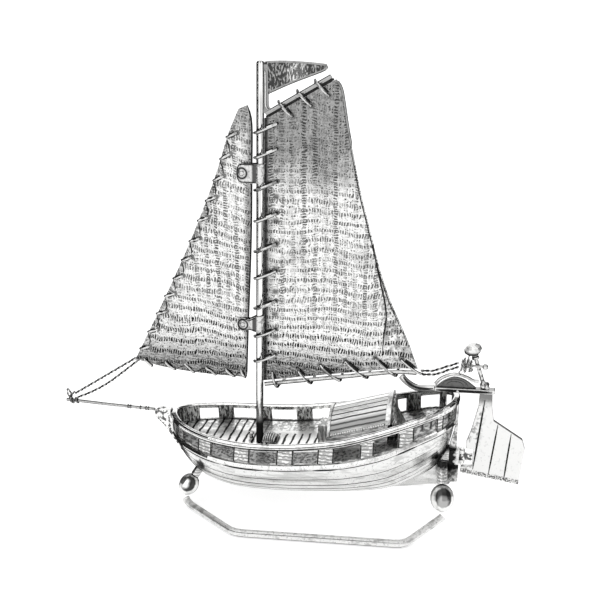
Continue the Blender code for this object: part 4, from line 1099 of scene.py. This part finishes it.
# Where the lacing enters the mainsail: heights along the mast, and holes along the boom.
LUFF_TURNS = (41.1, 48.0, 55.7, 63.7, 70.7, 78.4, 86.2, 94.1, 100.0)
LACE_REACH, LACE_RISE = 4.35, 1.25
BOOM_ENDS = ((-1.6, 32.9), (7.4, 34.9), (15.0, 36.45), (21.9, 37.85), (29.2, 39.2), (35.7, 40.4))
GAFF_ENDS, GAFF_SHARES = ((-3.75, 103.3), (11.7, 112.2)), (0.27, 0.56, 0.83)
JIB_LUFF = ((-40.6, 37.3), (-34.9, 48.4), (-25.4, 67.6), (-17.4, 86.0), (-13.3, 97.8), (-10.4, 104.3))
# Turns round the jib's foot: x, z of the hole, x, z below the edge.
JIB_FOOT_TURNS = (
    (-38.3, 37.9, -36.1, 35.0),
    (-32.5, 37.6, -29.6, 34.6),
    (-27.0, 37.3, -24.3, 34.3),
    (-21.2, 37.1, -18.3, 34.2),
    (-15.7, 37.1, -13.2, 34.2),
    (-11.5, 37.2, -10.3, 34.25),
)
# Openings in each bulwark: first x, last x.
OPENINGS = ((-25.6, -20.9), (-16.8, -10.6), (-6.2, 0.9), (5.3, 11.5), (15.7, 22.1), (25.6, 31.3), (35.1, 40.2), (41.9, 43.5))
# The straps: node, height that gives the mast's axis, and the border as x, z from it.
CLIPS = (
    ("jib_clip_upper", 89.1, ((-1.2, 91.3), (-4.5, 91.2), (-5.25, 90.7), (-5.55, 89.8), (-5.55, 88.3), (-5.25, 87.4), (-4.5, 86.95), (-1.2, 87.1))),
    ("jib_clip_lower", 50.6, ((-0.9, 52.1), (-2.6, 51.25), (-3.4, 51.45), (-4.7, 51.4), (-5.55, 50.5), (-5.5, 49.3), (-4.6, 48.5), (-3.3, 48.6), (-2.5, 48.85), (-0.9, 48.7))),
)
BOOM_HOLES = ((-2.9, 37.4), (3.6, 39.2), (9.6, 40.5), (16.1, 42.3), (23.7, 43.7), (30.2, 44.0))
# Where a painted shadow runs along the mainsail's head under the gaff, as x, z.
HEAD_SHADOW = ((-3.7, 102.55), (4.0, 106.95), (12.3, 111.7))
PENNANT_RIM = ((-3.8, 107.9), (2.6, 110.75), (9.6, 113.45), (10.75, 114.25), (9.8, 114.75), (2.0, 115.2), (-3.8, 115.05))


def make_rims(dark, satin):
    # The jib's after edge as a thin rim in black: painted shade of the folded edge.
    points, faces = [], []
    add_tube(points, faces, rounded([(x, 0, z) for x, z in JIB_LEECH_RIM], 1.5), 0.27, 6)
    piece("jib_leech_rim_shade", points, faces, dark, BOAT)
    points, faces = [], []
    add_tube(points, faces, rounded([(x, 0, z) for x, z in PENNANT_RIM], 0.8), 0.33, 6)
    piece("pennant_rim", points, faces, satin, BOAT)
    points, faces = [], []
    add_tube(points, faces, rounded([(x, 0, z) for x, z in MAIN_LEECH_RIM], 0.8), 0.36, 6)
    piece("mainsail_leech_rim", points, faces, satin, SAILS)
    # Painted shadow: a black line along the mainsail's head, under the gaff.
    points, faces = [], []
    add_tube(points, faces, rounded([(x, 0, z) for x, z in HEAD_SHADOW], 1.0), 0.42, 6)
    piece("mainsail_head_shadow", points, faces, dark, SAILS)


def plate(name, outline, half, look, body):
    """A flat plate with a closed outline of x, z and its thickness across the boat."""
    count = len(outline)
    points = [(x, side * half, z) for side in (-1, 1) for x, z in outline]
    faces = [tuple(range(count)), tuple(range(count, 2 * count))]
    faces += [(k, (k + 1) % count, count + (k + 1) % count, count + k) for k in range(count)]
    return piece(name, points, faces, look, body, 30)


def fillet(corner, radius, start):
    """A quarter round about a corner point, from the start angle in degrees."""
    angles = np.linspace(math.radians(start), math.radians(start + 90), 6)
    return [(corner[0] + radius * math.cos(a), corner[1] + radius * math.sin(a)) for a in angles]


def make_sleeve(satin, bright):
    """The fold of the pennant's hoist down the mast as far as the gaff, with its bright edge."""
    hollow_end = [*fillet((-1.95, 108.25), 1.15, 90), *fillet((-1.95, 105.35), 1.15, 180)]
    plate("pennant_sleeve", [(-4.25, 103.4), (-4.05, 114.6), (-3.1, 114.6), (-3.1, 109.1), *hollow_end, (-3.1, 103.9)], 0.42, satin, BOAT)
    points, faces = [], []
    route = [(-3.75, -0.5, 113.2), (-3.7, -0.5, 109.0), (-3.75, -0.5, 105.6), (-3.3, -0.5, 104.5), (-2.6, -0.5, 104.3)]
    for side in (1, -1):
        add_tube(points, faces, rounded([(x, side * y, z) for x, y, z in route], 0.5), 0.16, 6)
    piece("pennant_sleeve_edge", points, faces, bright, BOAT)


CAMERA_TARGET = (4.4, 0.0, 57.5)
CAMERA_DISTANCE = 225.0
CAMERA_AZIMUTH = 12.5
CAMERA_ELEVATION = 20.0
CAMERA_HALF_VIEW = 300 / 900


def make_camera():
    data = bpy.data.cameras.new("camera")
    data.sensor_width = 36.0
    data.lens = 18.0 / CAMERA_HALF_VIEW
    data.clip_start, data.clip_end = 0.01, 50.0
    camera = bpy.data.objects.new("camera", data)
    bpy.context.scene.collection.objects.link(camera)
    a, e = math.radians(CAMERA_AZIMUTH), math.radians(CAMERA_ELEVATION)
    back = Vector((math.sin(a) * math.cos(e), -math.cos(a) * math.cos(e), math.sin(e)))
    camera.location = (Vector(CAMERA_TARGET) + back * CAMERA_DISTANCE) * MM
    camera.rotation_euler = back.to_track_quat("Z", "Y").to_euler()
    bpy.context.scene.camera = camera


def make_stage():
    mesh = bpy.data.meshes.new("floor")
    reach = 12.0
    mesh.from_pydata([(-reach, -reach, 0), (reach, -reach, 0), (reach, reach, 0), (-reach, reach, 0)], [], [(0, 1, 2, 3)])
    floor = bpy.data.objects.new("floor", mesh)
    floor.location.z = -0.00002
    bpy.context.scene.collection.objects.link(floor)
    pale = bpy.data.materials.new("pale_floor")
    pale.use_nodes = True
    shader = pale.node_tree.nodes["Principled BSDF"]
    shader.inputs["Base Color"].default_value = (0.5, 0.5, 0.5, 1)
    shader.inputs["Emission Color"].default_value = (1, 1, 1, 1)
    shader.inputs["Emission Strength"].default_value = 0.66
    shader.inputs["Roughness"].default_value = 0.9
    shader.inputs["Specular IOR Level"].default_value = 0.0
    mesh.materials.append(pale)


def make_light():
    """A white tent, greyer overhead and dark on the camera's side, with one wide soft lamp."""
    scene = bpy.context.scene
    scene.view_settings.view_transform = "Standard"
    world = bpy.data.worlds.new("studio")
    scene.world = world
    world.use_nodes = True
    tree = world.node_tree
    sky = tree.nodes["Background"]
    sky.inputs["Color"].default_value = (1, 1, 1, 1)
    towards = tree.nodes.new("ShaderNodeTexCoord").outputs["Generated"]

    def patch(direction, near, far):
        dot = tree.nodes.new("ShaderNodeVectorMath")
        dot.operation = "DOT_PRODUCT"
        tree.links.new(towards, dot.inputs[0])
        dot.inputs[1].default_value = Vector(direction).normalized()
        ramp = tree.nodes.new("ShaderNodeMapRange")
        ramp.interpolation_type = "SMOOTHSTEP"
        tree.links.new(dot.outputs["Value"], ramp.inputs["Value"])
        ramp.inputs["From Min"].default_value = math.cos(math.radians(far))
        ramp.inputs["From Max"].default_value = math.cos(math.radians(near))
        return ramp.outputs["Result"]

    def lerp(share, a, b):
        node = tree.nodes.new("ShaderNodeMix")
        tree.links.new(share, node.inputs["Factor"])
        for socket, value in ((node.inputs[2], a), (node.inputs[3], b)):
            if isinstance(value, float):
                socket.default_value = value
            else:
                tree.links.new(value, socket)
        return node.outputs[0]

    overhead = lerp(patch((0, 0, 1), 20, 75), 1.45, 1.3)
    gap = lerp(patch((0.12, -1, 2.4), 7, 20), overhead, 0.03)
    tent = lerp(patch((0.5, -1, 0.75), 10, 34), gap, 0.45)
    tree.links.new(tent, sky.inputs["Strength"])
    data = bpy.data.lights.new("soft_sun", "SUN")
    data.angle = math.radians(70)
    data.energy = 0.5
    sun = bpy.data.objects.new("soft_sun", data)
    scene.collection.objects.link(sun)
    sun.rotation_euler = Vector((-0.4, -0.3, 1.0)).to_track_quat("Z", "Y").to_euler()


def make_cards():
    """Dark cards round the table, seen only in the silver, give it its black edges."""
    black = bpy.data.materials.new("card_black")
    black.use_nodes = True
    shader = black.node_tree.nodes["Principled BSDF"]
    shader.inputs["Base Color"].default_value = (0.01, 0.01, 0.01, 1)
    shader.inputs["Roughness"].default_value = 1.0
    shader.inputs["Specular IOR Level"].default_value = 0.0
    reach = 0.24
    edge, far, wide = 0.008, 0.2, 0.3
    a = math.radians(CAMERA_AZIMUTH)
    across, back = Vector((math.cos(a), math.sin(a), 0)), Vector((-math.sin(a), math.cos(a), 0))
    lift = Vector((0, 0, 0.00005))
    corners = [across * x + back * y + lift for x, y in ((-wide, edge), (wide, edge), (wide, far), (-wide, far))]
    shapes = [("card_table", corners, [(0, 1, 2, 3)])]
    for name, middle, spread, low, high in CARDS:
        points, faces = [], []
        for k in range(9):
            angle = math.radians(CAMERA_AZIMUTH + middle + spread * (k / 8 - 0.5))
            for height in (low, high):
                points.append((math.sin(angle) * reach, -math.cos(angle) * reach, height))
        shapes.append((name, points, [(2 * k, 2 * k + 2, 2 * k + 3, 2 * k + 1) for k in range(8)]))
    for name, points, faces in shapes:
        mesh = bpy.data.meshes.new(name)
        mesh.from_pydata(points, [], faces)
        mesh.materials.append(black)
        card = bpy.data.objects.new(name, mesh)
        bpy.context.scene.collection.objects.link(card)
        card.visible_camera = False
        card.visible_diffuse = False
        card.visible_shadow = False
        card.visible_transmission = False


# Cards: name, middle and spread in degrees from the camera's side, lowest and highest edge in metres.
CARDS = (
    ("card_left", -105.0, 86.0, 0.0, 0.42),
    ("card_right", 105.0, 86.0, 0.0, 0.42),
    ("card_back", 180.0, 64.0, 0.205, 0.26),
)


def dress_pieces():
    bright = polished("wire_silver", 0.12, 0.5, 0.02)
    wire = polished("twisted_silver", 0.2, 0.45, 0.0, 0.55, 1.0, 0.5)
    line = make_oxide_and_shadow()
    dim = polished("dim_silver", 0.3, 1.0, 0.1, 0.5, 1.0, 0.3)
    make_ropes(wire, line, polished("knot_silver", 0.3, 0.5, 0.0, 0.5, 0.95, 0.3))
    make_rivets(polished("rivet_silver", 0.3, 0.5, 0.05, base=0.6), line)
    make_eaves(polished("eave_silver", 0.5, 0.2, 0.0, 0.2, 0.6, 1.0))
    make_deck_coil(wire)
    hull_lines(line)
    rail_lines(line)
    rudder_lines(line)
    stand_lines(line)
    sail_lines(line)
    jib_lacing(polished("jib_wire_silver", 0.24, 0.6, 0.05, 0.3, 0.8, 0.66, 0.6), line)
    fill_holes(polished("dark_hole_fill", 0.5, 0.4, 0.0, base=0.2))
    wire_shadows(line)
    clip_lines(line)
    opening_lines(line)
    make_rims(line, dim)
    make_sleeve(dim, bright)


dress_nodes()
dress_pieces()
make_camera()
make_stage()
make_light()
make_cards()
